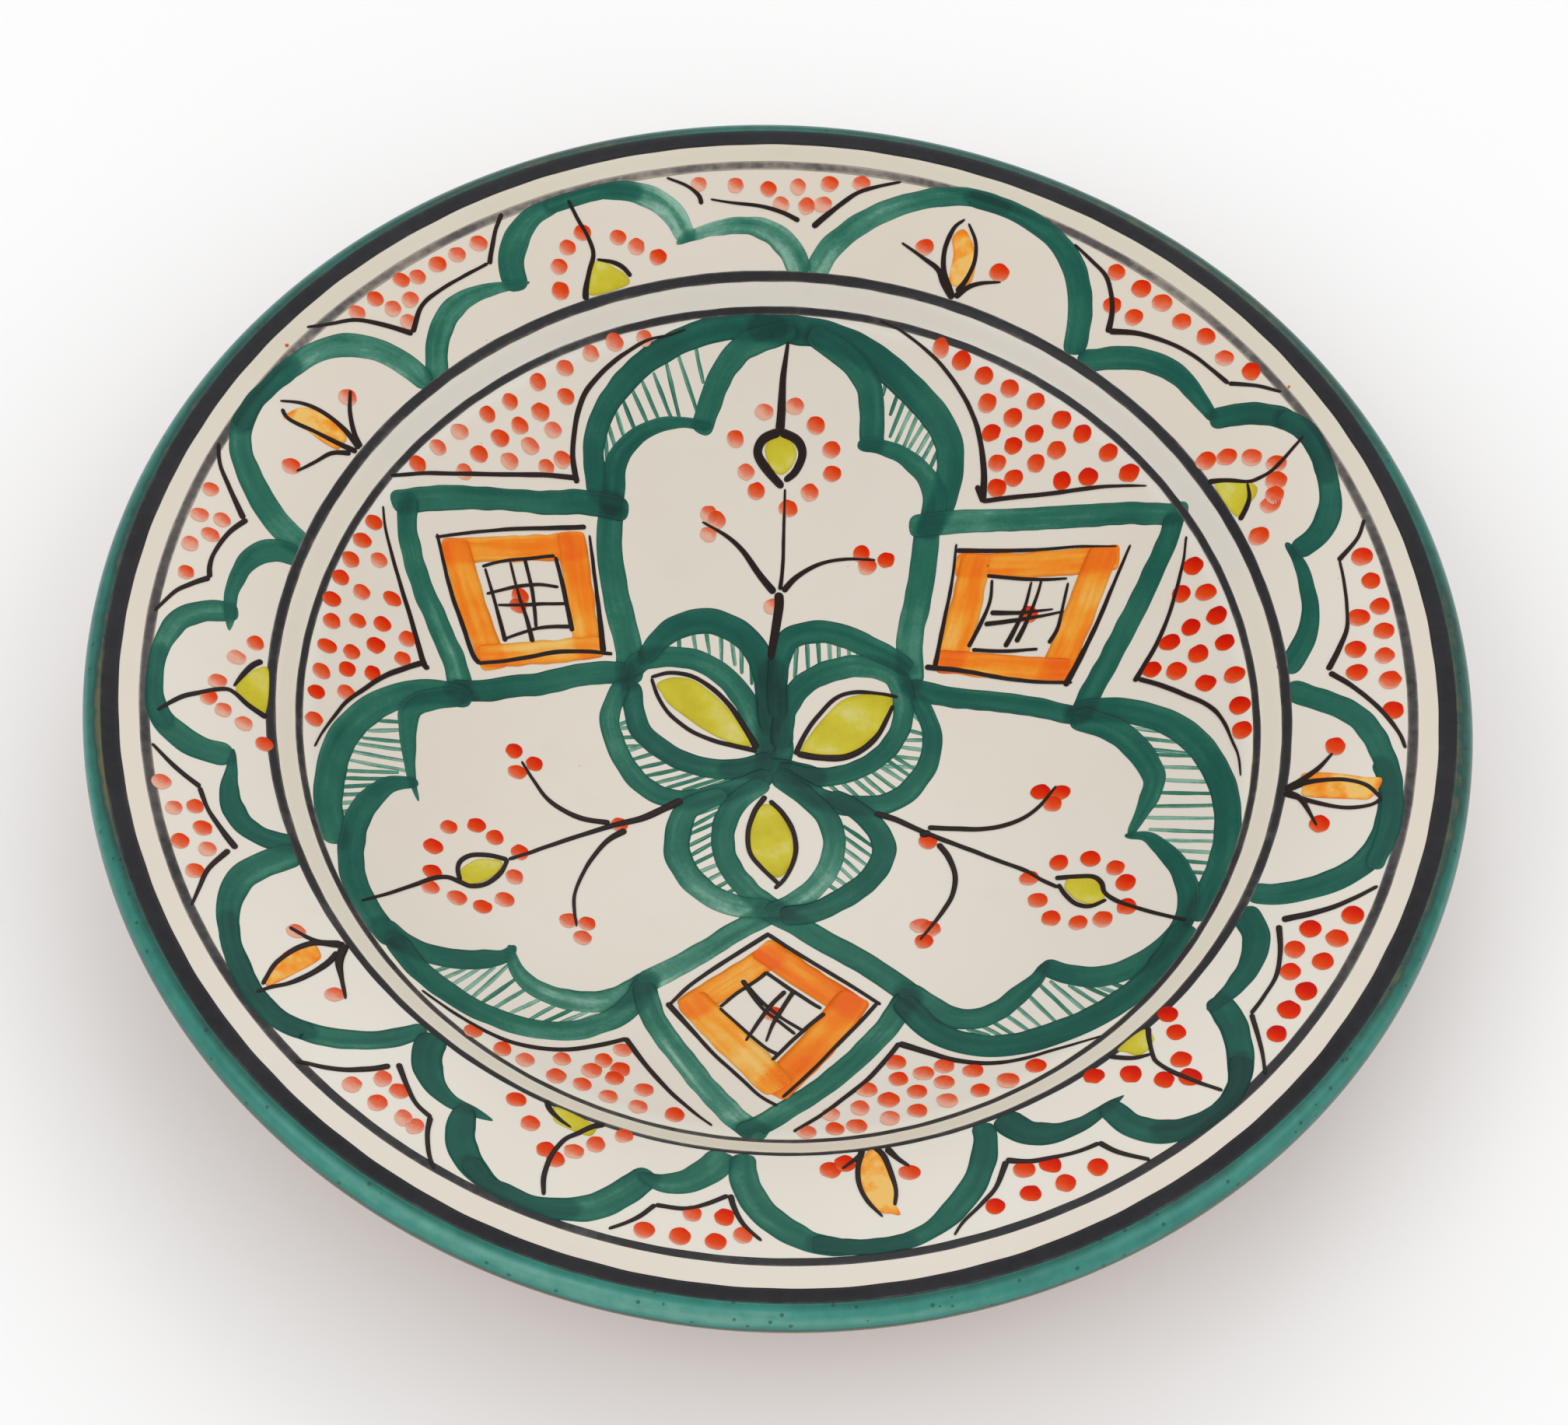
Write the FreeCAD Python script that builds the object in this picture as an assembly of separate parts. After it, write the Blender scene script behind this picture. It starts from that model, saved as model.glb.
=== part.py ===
"""Hand painted ceramic plate: a wide shallow dish on a foot ring.

A thrown clay body on a luted foot ring carries a white glaze coat on its face and a green
glaze round its lip.
The painted decoration lies on the glaze as one thin film for each colour and zone: four wheel
banded lines, the green brushwork of the well and of the rim, the black pen work, the orange
fields, the lime leaves and the red dabs.
Millimetres, +Z up. The origin is the centre of the foot ring's resting face. +Y is the way
that one of the three petals in the well points.
"""

import FreeCAD
import Part
import math
import os

# The glazed surface, as radius and height.
LIP_R = 175.0  # largest radius
LIP_ROUND = 5.0  # radius of the lip's rounded edge
LIP_TOP = (170.0, 63.0)
RIM_OUT = (165.6, 62.8)
RIM_MID = (147.0, 58.2)
LEDGE = (128.5, 51.3)  # top of the well's wall, where the rim starts
WELL_EDGE = (122.7, 44.5)  # bottom of that wall, where the bowl of the well starts
WELL_FLOOR_Z = 12.5  # height at the centre

# Body thickness, underside and foot ring.
FLOOR_THICK = 8.0
UNDER_RIM_MID = (150.0, 49.6)
UNDER_RIM_IN = (129.0, 42.2)
UNDER_BOWL_R = 120.0
FOOT_OUTER_R = 74.0
FOOT_INNER_R = 62.0
FOOT_TAPER = 2.0  # each side of the foot leans in by this much towards the ground

# Coats.
GLAZE = 0.5  # white face glaze and green lip glaze
FILM = 0.25  # painted colour on top of the glaze

# Wheel banded lines, as inner and outer radius.
LIP_BAND = (165.6, 170.0)
RIM_LINE = (158.3, 160.5)
LEDGE_LINE = (128.0, 130.4)
WELL_LINE = (121.5, 123.7)

# Brush and pen widths.
PETAL_BRUSH = 6.0
LEAF_BRUSH = 4.5
RIM_BRUSH = 5.0
PEN = 1.1
DAB_R = 2.1
PEN_GAP = 0.4  # bare glaze between a pen line and the colour it bounds

# Where the motifs point, from +X. PAIRS counts one plain and one trefoil arch of the rim.
PETALS = 3
PETAL_AT = 90.0
WINDOW_AT = 30.0
PAIRS = 5
PLAIN_AT = 73.0
TREFOIL_AT = 37.0

# Places along a motif's own axis, as distances from the dish's centre.
PETAL_BUD = 86.0
WINDOW_MID = 79.0
WINDOW_REACH = (26.0, 24.0)  # half diagonals of the orange field, along and across
PANE_REACH = (13.0, 12.0)
RIM_FOOT = 133.0  # where the rim's arches start
RIM_CROWN = 154.0
RIM_BUD = (135.0, 149.0)

UP = FreeCAD.Vector(0, 0, 1)
ORIGIN = FreeCAD.Vector(0, 0, 0)
TALL = 90.0  # height of a prism that passes through every film


def at(r, z):
    return FreeCAD.Vector(r, 0, z)


def flat(x, y):
    return FreeCAD.Vector(x, y, 0)


def polar(r, degrees):
    return flat(r * math.cos(math.radians(degrees)), r * math.sin(math.radians(degrees)))


def arc(a, b, c):
    return Part.Arc(a, b, c).toShape()


def line(a, b):
    return Part.LineSegment(a, b).toShape()


def spun(edges):
    """A closed solid from closed profile edges in the XZ plane."""
    face = Part.Face(Part.Wire(Part.__sortEdges__(edges)))
    return face.revolve(FreeCAD.Vector(0, 0, 0), FreeCAD.Vector(0, 0, 1), 360)


# ---- the body and its coats ----


def bowl_radius():
    """Radius of the sphere that the well's bowl is a cap of."""
    rise = WELL_EDGE[1] - WELL_FLOOR_Z
    return (WELL_EDGE[0] ** 2 + rise**2) / (2 * rise)


def on_bowl(r, thick=0.0):
    """A point of the bowl's surface, or of the surface that lies this much under it."""
    ball = bowl_radius() + thick
    return at(r, WELL_FLOOR_Z + bowl_radius() - math.sqrt(ball**2 - r**2))


def face_edges(lift):
    """The dish's face from its centre to the top of the lip, moved up by lift."""
    up = at(0, lift)
    return [
        arc(on_bowl(0) + up, on_bowl(WELL_EDGE[0] / 2) + up, at(*WELL_EDGE) + up),
        line(at(*WELL_EDGE) + up, at(*LEDGE) + up),
        arc(at(*LEDGE) + up, at(*RIM_MID) + up, at(*RIM_OUT) + up),
        line(at(*RIM_OUT) + up, at(*LIP_TOP) + up),
    ]


def lip_point(radius, degrees):
    """A point on the lip's round edge. 90 degrees is its top and 0 its outermost point."""
    turn = math.radians(degrees)
    centre = at(LIP_R - LIP_ROUND, LIP_TOP[1] - LIP_ROUND)
    return centre + at(radius * math.cos(turn), radius * math.sin(turn))


def under(r):
    """A point on the underside of the well's bowl."""
    return on_bowl(r, FLOOR_THICK)


def clay_body():
    """Thrown body without its foot ring, one coat under the glazed surface."""
    lip = LIP_ROUND - GLAZE
    edges = face_edges(-GLAZE) + [
        arc(lip_point(lip, 90), lip_point(lip, 0), lip_point(lip, -90)),
        arc(lip_point(lip, -90), at(*UNDER_RIM_MID), at(*UNDER_RIM_IN)),
        line(at(*UNDER_RIM_IN), under(UNDER_BOWL_R)),
        arc(under(UNDER_BOWL_R), under(UNDER_BOWL_R / 2), under(0)),
        line(under(0), on_bowl(0) - at(0, GLAZE)),
    ]
    return spun(edges)


def foot_ring():
    """The ring of clay luted under the bowl, with a flat resting face on the ground."""
    foot_mid = under((FOOT_INNER_R + FOOT_OUTER_R) / 2)
    ground_out = at(FOOT_OUTER_R - FOOT_TAPER, 0)
    ground_in = at(FOOT_INNER_R + FOOT_TAPER, 0)
    edges = [
        arc(under(FOOT_INNER_R), foot_mid, under(FOOT_OUTER_R)),
        line(under(FOOT_OUTER_R), ground_out),
        line(ground_out, ground_in),
        line(ground_in, under(FOOT_INNER_R)),
    ]
    return spun(edges)


def coat(low, high):
    """A shell over the whole face between two heights above it."""
    sides = [
        line(at(*LIP_TOP) + at(0, low), at(*LIP_TOP) + at(0, high)),
        line(on_bowl(0) + at(0, low), on_bowl(0) + at(0, high)),
    ]
    return spun(face_edges(low) + face_edges(high) + sides)


def lip_glaze():
    """Green glaze round the lip, from its top to its lowest point."""
    inner = LIP_ROUND - GLAZE
    edges = [
        arc(lip_point(LIP_ROUND, 90), lip_point(LIP_ROUND, 0), lip_point(LIP_ROUND, -90)),
        line(lip_point(LIP_ROUND, -90), lip_point(inner, -90)),
        arc(lip_point(inner, -90), lip_point(inner, 0), lip_point(inner, 90)),
        line(lip_point(inner, 90), lip_point(LIP_ROUND, 90)),
    ]
    return spun(edges)


def tube(r_in, r_out):
    """A tall ring between two radii, which cuts a band out of a film."""
    return Part.makeCylinder(r_out, TALL).cut(Part.makeCylinder(r_in, TALL))


# ---- flat outlines of the painting, all in the XY plane ----


def stroke(points, width):
    """One brush stroke between two points, or along the arc through three, with square ends."""
    half = width / 2
    if len(points) == 2:
        a, b = points
        side = (b - a).cross(UP).normalize() * half
        return polygon([a + side, b + side, b - side, a - side])
    centre = Part.Circle(*points).Center
    outer = [moved_out(p, centre, half) for p in points]
    inner = [moved_out(p, centre, -half) for p in points]
    edges = [
        arc(*outer),
        line(outer[2], inner[2]),
        arc(*reversed(inner)),
        line(inner[0], outer[0]),
    ]
    return Part.Face(Part.Wire(edges))


def moved_out(point, centre, distance):
    out = point - centre
    return centre + out * (1 + distance / out.Length)


def polygon(corners):
    return Part.Face(Part.makePolygon(corners + corners[:1]))


def leaf(base, tip, half_width):
    """A pointed leaf between two points, bounded by two arcs."""
    side = (tip - base).cross(UP).normalize() * half_width
    mid = (base + tip) / 2
    return Part.Face(Part.Wire([arc(base, mid + side, tip), arc(tip, mid - side, base)]))


def dab(centre, radius=DAB_R):
    return Part.Face(Part.Wire(Part.Circle(centre, UP, radius).toShape()))


def both(points, width):
    """A stroke and its mirror image across the motif's own axis."""
    return [stroke(points, width), stroke([flat(p.x, -p.y) for p in points], width)]


def dab_pair(x, y):
    return [dab(flat(x, y)), dab(flat(x, -y))]


def turned(faces, count, first):
    """Copies of a motif that points along +X, turned to each of its places round the dish."""
    places = [first + k * 360 / count for k in range(count)]
    return [face.rotated(ORIGIN, UP, place) for place in places for face in faces]


# ---- the motifs of the well, each drawn along +X ----


def petal_strokes():
    """A petal's outer arch, the trefoil arch inside it and the straight walls below."""
    arch = both([flat(64, 51), flat(102, 43), flat(118, 0)], PETAL_BRUSH)
    shoulders = both([flat(62, 43), flat(84, 38), flat(90, 25)], PETAL_BRUSH)
    crown = both([flat(88, 26), flat(106, 18), flat(113, 0)], PETAL_BRUSH)
    walls = both([flat(70, 43), flat(34, 36)], PETAL_BRUSH)
    return arch + shoulders + crown + walls


def petal_pen():
    """A petal's forked twig, the outline of its bud and the bud's stalk."""
    stem = [stroke([flat(34, 0), flat(69.5, 0)], PEN), stroke([flat(94, 0), flat(109, 0)], PEN)]
    bud = leaf(flat(77, 0), flat(94.5, 0), 5.0).cut(leaf(flat(79, 0), flat(92.5, 0), 3.9))
    return stem + both([flat(45, 0), flat(56, 7), flat(60.5, 18)], PEN) + [bud]


def petal_bud():
    return [leaf(flat(79.3, 0), flat(92.2, 0), 3.6)]


def petal_dabs():
    """Red dabs in a ring round the petal's bud, and at the ends of the side twigs."""
    ring = [dab(flat(PETAL_BUD, 0) + polar(13.5, 20 + 40 * k)) for k in range(9)]
    return ring + dab_pair(62, 22.5)


def window_strokes():
    """The frame between two petals, and the ring and wings round the hub leaf under it."""
    tip, side, heel = flat(117, 0), flat(75, 36), flat(45, 2)
    ring = both([flat(3, 1), flat(23, 11), flat(45, 0)], LEAF_BRUSH)
    wings = both([flat(8, 10), flat(28, 23), flat(45, 6)], LEAF_BRUSH)
    return both([tip, side], PETAL_BRUSH) + both([side, heel], PETAL_BRUSH) + ring + wings


def kite(reach, grow=0.0):
    """A four sided outline round the window's middle, grown by a distance on every side."""
    along, across = reach
    scale = 1 + grow * math.hypot(along, across) / (along * across)
    mid = flat(WINDOW_MID, 0)
    tips = [flat(along, 0), flat(0, across), flat(-along, 0), flat(0, -across)]
    return polygon([mid + tip * scale for tip in tips])


def window_field():
    return [kite(WINDOW_REACH).cut(kite(PANE_REACH))]


def window_pen():
    """Pen lines round the orange field, round the pane and across the pane."""
    outer = kite(WINDOW_REACH, PEN + PEN_GAP).cut(kite(WINDOW_REACH, PEN_GAP))
    inner = kite(PANE_REACH, -PEN_GAP).cut(kite(PANE_REACH, -PEN_GAP - PEN))
    along, across = (reach / 2 - PEN for reach in PANE_REACH)
    bars = both([flat(WINDOW_MID - along, -across), flat(WINDOW_MID + along, across)], PEN)
    return [outer, inner] + bars


def hub_leaf():
    return [leaf(flat(9.5, 0), flat(38, 0), 5.2)]


def hub_pen():
    return [leaf(flat(6.5, 0), flat(41, 0), 6.8).cut(leaf(flat(9, 0), flat(38.5, 0), 5.6))]


def well_dabs():
    """Red dabs in the corners outside the petals' shoulders, on both sides of a window's tip."""
    rows = [(112, (15, 18.5)), (106, (13, 17)), (100, (14.5,))]
    return [dab(polar(r, side * turn)) for r, turns in rows for turn in turns for side in (-1, 1)]


# ---- the motifs of the rim, each drawn along +X ----


def plain_arch():
    return [stroke([polar(RIM_FOOT, 15.5), polar(RIM_CROWN, 0), polar(RIM_FOOT, -15.5)], RIM_BRUSH)]


def trefoil_arch():
    shoulders = both([polar(RIM_FOOT, 17.5), polar(144, 15), polar(142, 9.5)], RIM_BRUSH)
    crown = stroke([polar(142, 9.5), polar(RIM_CROWN, 0), polar(142, -9.5)], RIM_BRUSH)
    return shoulders + [crown]


def rim_leaf(base, tip, half_width):
    return [leaf(flat(base, 0), flat(tip, 0), half_width)]


def rim_pen():
    """The outline of a rim bud."""
    base, tip = RIM_BUD
    inside = leaf(flat(base - 0.5, 0), flat(tip - 1, 0), 2.6)
    return [leaf(flat(base - 3, 0), flat(tip + 1, 0), 3.6).cut(inside)]


def corner_dabs():
    """Red dabs between two arches, in a row that follows the rim line."""
    return [dab(polar(152.5, 2.4 * k)) for k in (-1, 0, 1)]


# ---- the films ----


def painted(shell, *motifs):
    """What repeated motifs cut out of a film, with crossing strokes joined."""
    faces = [face for motif in motifs for face in turned(*motif)]
    prisms = [face.extrude(UP * TALL) for face in faces]
    return prisms[0].multiFuse(prisms[1:]).common(shell)


def wheel_lines(film):
    bands = {"lip_band": LIP_BAND, "rim_line": RIM_LINE}
    bands.update(ledge_line=LEDGE_LINE, well_line=WELL_LINE)
    return {name: film.common(tube(*band)) for name, band in bands.items()}


def paintwork(film):
    """One film for each colour and zone, inside the wheel lines that bound the zone."""
    well = film.common(Part.makeCylinder(WELL_LINE[0], TALL))
    rim = film.common(tube(LEDGE_LINE[1], RIM_LINE[0]))
    petal, window = (PETALS, PETAL_AT), (PETALS, WINDOW_AT)
    plain, trefoil = (PAIRS, PLAIN_AT), (PAIRS, TREFOIL_AT)
    corner = (2 * PAIRS, PLAIN_AT + 180 / (2 * PAIRS))
    return {
        "well_brushwork": painted(well, (petal_strokes(), *petal), (window_strokes(), *window)),
        "rim_brushwork": painted(rim, (plain_arch(), *plain), (trefoil_arch(), *trefoil)),
        "well_pen": painted(well, (petal_pen(), *petal), (window_pen() + hub_pen(), *window)),
        "rim_pen": painted(rim, (rim_pen(), *plain)),
        "window_fields": painted(well, (window_field(), *window)),
        "rim_buds": painted(rim, (rim_leaf(136, 147, 2.2), *plain)),
        "well_leaves": painted(well, (hub_leaf(), *window), (petal_bud(), *petal)),
        "rim_leaves": painted(rim, (rim_leaf(133, 144, 4.0), *trefoil)),
        "well_dabs": painted(well, (petal_dabs(), *petal), (well_dabs(), *window)),
        "rim_dabs": painted(rim, (corner_dabs(), *corner)),
    }


def main():
    os.makedirs("parts", exist_ok=True)
    film = coat(0.0, FILM)
    parts = {"clay_body": clay_body(), "foot_ring": foot_ring()}
    parts.update(face_glaze=coat(-GLAZE, 0.0), lip_glaze=lip_glaze())
    parts.update(wheel_lines(film))
    parts.update(paintwork(film))
    for name, shape in parts.items():
        shape.exportStep(f"parts/{name}.step")
        print(name, shape.isValid(), len(shape.Solids), round(shape.Volume / 1000, 2), "cm3")


main()
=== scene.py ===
"""Looks for the hand painted ceramic dish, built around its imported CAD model.

The coats are fine turned surfaces. The painting is laid on them stroke by stroke: each brush or
pen stroke is a thin closed ribbon, and each dab or leaf a thin patch. The tables hold the strokes
as seen from above, in whole tenths. The well's points are x to the right and y away, in
millimetres. The rim's are angle in degrees and radius in millimetres. A stroke is its widths from
end to end, then its points.
"""

import math

import bpy
import numpy as np
from mathutils import Matrix, Vector


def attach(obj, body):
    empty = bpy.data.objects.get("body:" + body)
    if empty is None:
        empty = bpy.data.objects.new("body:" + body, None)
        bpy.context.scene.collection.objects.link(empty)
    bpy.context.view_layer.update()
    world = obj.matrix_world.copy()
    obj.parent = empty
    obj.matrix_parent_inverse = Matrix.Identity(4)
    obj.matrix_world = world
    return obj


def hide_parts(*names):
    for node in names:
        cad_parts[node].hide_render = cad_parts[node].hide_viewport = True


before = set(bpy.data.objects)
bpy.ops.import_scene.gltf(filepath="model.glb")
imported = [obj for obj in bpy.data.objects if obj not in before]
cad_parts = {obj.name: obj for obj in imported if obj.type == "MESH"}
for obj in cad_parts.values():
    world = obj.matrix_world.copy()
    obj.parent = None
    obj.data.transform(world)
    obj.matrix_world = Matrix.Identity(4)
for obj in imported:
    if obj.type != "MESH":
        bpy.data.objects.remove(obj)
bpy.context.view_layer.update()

# Green brush strokes of the well.
WELL_BRUSH = {
 "petal_far": [
  ((55,54,58,60,62),(-534,694,-553,780,-555,823,-546,880,-519,944,-473,1012,-412,1073,-337,1123,-251,
   1162,-166,1176,-94,1180)),
  ((66,67,72,70,66),(-130,1180,-20,1180,51,1173,144,1144,230,1094,301,1037,366,973,401,916,412,859,409,
   801,398,751,380,709)),
  ((50,60,62,58,54),(-51,1176,-123,1151,-173,1126,-209,1084,-234,1037,-251,980,-266,923,-271,909)),
  ((22,30,43,56,60),(-251,916,-323,916,-387,898,-437,866,-473,823,-491,780,-494,723,-494,673)),
  ((55,62,64,62),(20,1170,87,1137,141,1098,176,1051,189,994,194,937,196,904)),
  ((30,40,48,58,64),(166,902,230,896,287,873,337,834,369,787,376,737,369,687)),
  ((62,66,70,68),(-491,673,-494,594,-487,530,-469,451,-448,380,-426,316,-409,251,-405,194)),
  ((66,68,66),(362,673,359,594,354,530,344,450,336,394,336,320,344,250))],
 "window_far_left": [
  ((62,64,54,62,58),(-466,659,-566,659,-673,634,-780,616,-887,591,-959,566,-1009,544,-1048,526)),
  ((46,52,58,60),(-1019,538,-1019,473,-998,401,-966,323,-930,259,-894,194,-859,130,-837,66)),
  ((58,60,62),(-844,51,-780,66,-709,98,-637,123,-566,159,-494,187,-423,201))],
 "window_far_right": [
  ((60,58,58,52),(330,687,423,696,516,698,701,694,873,686,944,674,1001,664,1039,669)),
  ((50,55,56),(1016,656,994,594,959,509,923,423,887,344,851,266,816,194,794,137)),
  ((56,55,50),(350,226,444,201,516,191,609,176,694,155,776,126))],
 "hub_far_left": [
  ((54,57,60,58),(-396,218,-366,251,-280,271,-209,262,-144,223,-94,166,-55,94,-30,23)),
  ((44,66,70,64,58),(-366,256,-330,319,-280,362,-209,386,-137,369,-80,323,-48,259,-34,187,-23,101)),
  ((50,56,56,58),(-398,166,-384,101,-362,41,-323,7,-273,-23,-209,-43,-137,-46,-73,-34,-23,-9)),
  ((46,50,54,56,54),(-423,159,-443,94,-443,41,-426,-5,-398,-59,-351,-116,-291,-148,-216,-150,-144,-123,
   -73,-87,-23,-59))],
 "hub_far_right": [
  ((56,60,60,52,52,60),(12,50,12,101,16,151,51,216,109,262,180,287,251,284,301,259,326,209,330,151,319,
   94,287,37,230,-12,166,-40,87,-48,23,-36)),
  ((50,54,62,60,46),(-4,140,-12,244,-6,316,19,362,87,383,159,373,230,344,287,316,330,287)),
  ((42,50,58,60,56),(366,194,394,137,409,80,403,9,380,-44,337,-98,280,-126,209,-130,137,-116,73,-87,16,
   -51))],
 "petal_left": [
  ((62,66,68,68,64),(-823,37,-894,31,-944,13,-994,-19,-1044,-66,-1084,-130,-1110,-201,-1119,-280,-1117,
   -351,-1105,-423,-1080,-487)),
  ((56,56,44,26,8),(-844,31,-901,6,-941,-23,-955,-66,-943,-159,-929,-230,-901,-305)),
  ((30,56,60,60,64),(-916,-255,-966,-273,-998,-309,-1024,-359,-1039,-416,-1042,-473,-1037,-537,-1019,
   -601,-987,-659,-951,-709,-909,-751)),
  ((60,60,58,56,20),(-930,-723,-873,-759,-809,-771,-744,-769,-680,-750,-634,-726,-616,-694)),
  ((15,46,62,64,62),(-626,-694,-605,-755,-566,-801,-501,-828,-423,-830,-359,-809,-309,-769,-280,-737)),
  ((60,58,56,58,60),(-894,-759,-830,-830,-723,-898,-619,-935,-537,-944,-459,-934,-391,-901,-337,-855,
   -298,-794,-284,-751)),
  ((60,58,56,58),(-280,-737,-216,-684,-144,-619,-73,-551,-16,-505,27,-473))],
 "window_near": [
  ((60,60,60,64),(-284,-759,-259,-837,-223,-901,-166,-980,-109,-1059,-44,-1137,6,-1187,33,-1209)),
  ((58,64,62),(9,-473,87,-512,159,-559,230,-601,287,-641,351,-694,380,-723)),
  ((60,58,56,58),(371,-737,334,-816,259,-930,173,-1034,80,-1126,30,-1173,-6,-1198))],
 "hub_near": [
  ((50,58,58,58,56),(-30,-80,-87,-134,-117,-201,-121,-266,-105,-326,-66,-387,-16,-437,27,-462)),
  ((50,62,66,65,60),(-137,-126,-209,-169,-234,-223,-239,-280,-229,-337,-187,-401,-130,-444,-66,-466,6,
   -466)),
  ((54,56,56,54),(16,-59,87,-109,144,-166,167,-230,167,-287,151,-344,116,-401,66,-448,23,-473)),
  ((50,58,60,60),(159,-109,209,-134,259,-176,291,-230,299,-273,284,-326,244,-380,187,-430,123,-469,59,
   -484))],
 "petal_right": [
  ((65,65,62,60,62),(787,137,859,137,937,116,1016,73,1075,14,1116,-59,1144,-137,1155,-223,1151,-301,1134,
   -380,1109,-451,1073,-523)),
  ((65,65,60,46,16),(787,119,873,76,930,16,962,-37,978,-87,966,-144,941,-201,919,-251)),
  ((15,46,50,46,60,62,50),(911,-250,959,-259,998,-301,1037,-366,1057,-437,1055,-501,1030,-566,980,-626,
   909,-671,841,-687,773,-673,716,-644)),
  ((20,50,60,64,64),(714,-634,694,-676,651,-726,601,-776,541,-803,473,-791,416,-748,376,-716)),
  ((64,66,68,64,64),(369,-751,423,-823,487,-869,573,-893,659,-886,737,-859,816,-823,887,-776,959,-709,
   1009,-637,1044,-566))],
}
# Thin hatch strokes between the well's arches: x, y at each end.
WELL_HATCH = (
 -301,1101,-280,1037,-344,1073,-287,951,-376,1048,-334,930,-405,1016,-359,930,-434,991,-394,923,-459,966,
 -419,901,-484,937,-448,873,-501,905,-473,844,-519,869,-494,809,-526,837,-516,780,226,1080,219,1044,259,
 1044,244,994,280,1030,248,937,305,1016,266,923,319,994,287,909,337,966,301,901,351,937,319,880,366,923,
 337,866,373,880,359,844,-287,344,-280,301,-251,366,-237,305,-216,373,-201,305,-173,362,-166,287,-144,
 351,-130,280,-116,330,-109,259,-87,301,-80,230,-420,46,-385,70,-416,37,-360,50,-413,9,-350,23,-406,-16,
 -350,-6,34,344,34,259,59,359,69,266,87,373,98,287,116,380,126,301,144,373,148,309,169,366,176,312,194,
 351,201,312,355,151,376,130,351,101,385,91,348,73,401,73,337,51,401,41,316,23,387,16,294,-6,380,-9,923,
 73,1001,51,959,37,1030,16,980,1,1051,-20,-1016,-98,-976,-87,-1034,-134,-969,-109,-1044,-162,-966,-144,
 -1059,-184,-959,-167,-1069,-212,-951,-198,-1076,-241,-944,-226,-1084,-276,-973,-241,-1087,-301,-987,
 -266,-1091,-330,-1012,-294,-1091,-355,-1034,-330,-1087,-380,-1044,-359,-1084,-409,-1062,-394,-380,-23,
 -334,9,-362,-44,-301,-12,-344,-69,-280,-41,-326,-91,-248,-59,-301,-109,-216,-69,-266,-116,-187,-76,-223,
 -116,-151,-80,-180,-109,-116,-76,-187,-187,-137,-159,-194,-223,-151,-187,-201,-251,-151,-216,-201,-287,
 -151,-248,-194,-316,-148,-276,-187,-344,-137,-305,-173,-369,-123,-337,-151,-394,-109,-359,-130,-416,-87,
 -380,-101,-430,-66,-401,-73,-441,-37,-423,-766,-801,-794,-823,-730,-801,-780,-848,-694,-787,-755,-862,
 -662,-780,-723,-876,-630,-766,-701,-891,-605,-801,-676,-898,-580,-830,-644,-905,-537,-848,-605,-912,
 -501,-862,-551,-916,-459,-866,-516,-916,-426,-869,-480,-912,-401,-873,-444,-905,123,-80,151,-109,151,
 -73,187,-109,180,-62,226,-105,209,-48,266,-98,237,-41,287,-87,259,-26,312,-69,280,-9,337,-48,298,9,348,
 -30,316,20,359,-9,201,-201,266,-251,198,-230,266,-284,194,-262,255,-312,191,-291,237,-337,184,-319,223,
 -359,173,-351,209,-380,162,-380,191,-401,994,-16,1080,-34,1005,-55,1094,-73,1009,-94,1116,-119,994,-130,
 1123,-155,980,-169,1123,-191,962,-201,1123,-230,980,-241,1126,-273,1016,-280,1123,-301,1044,-316,1123,
 -337,1059,-351,1116,-369,1069,-387,1109,-398,1076,-423,1101,-430,701,-701,773,-801,734,-701,809,-794,
 780,-716,837,-773,816,-719,866,-755,848,-723,884,-744,880,-716,909,-734,666,-723,737,-823,637,-759,701,
 -837,612,-787,673,-848,584,-812,637,-859,559,-826,601,-857,537,-841,566,-853
)
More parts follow.
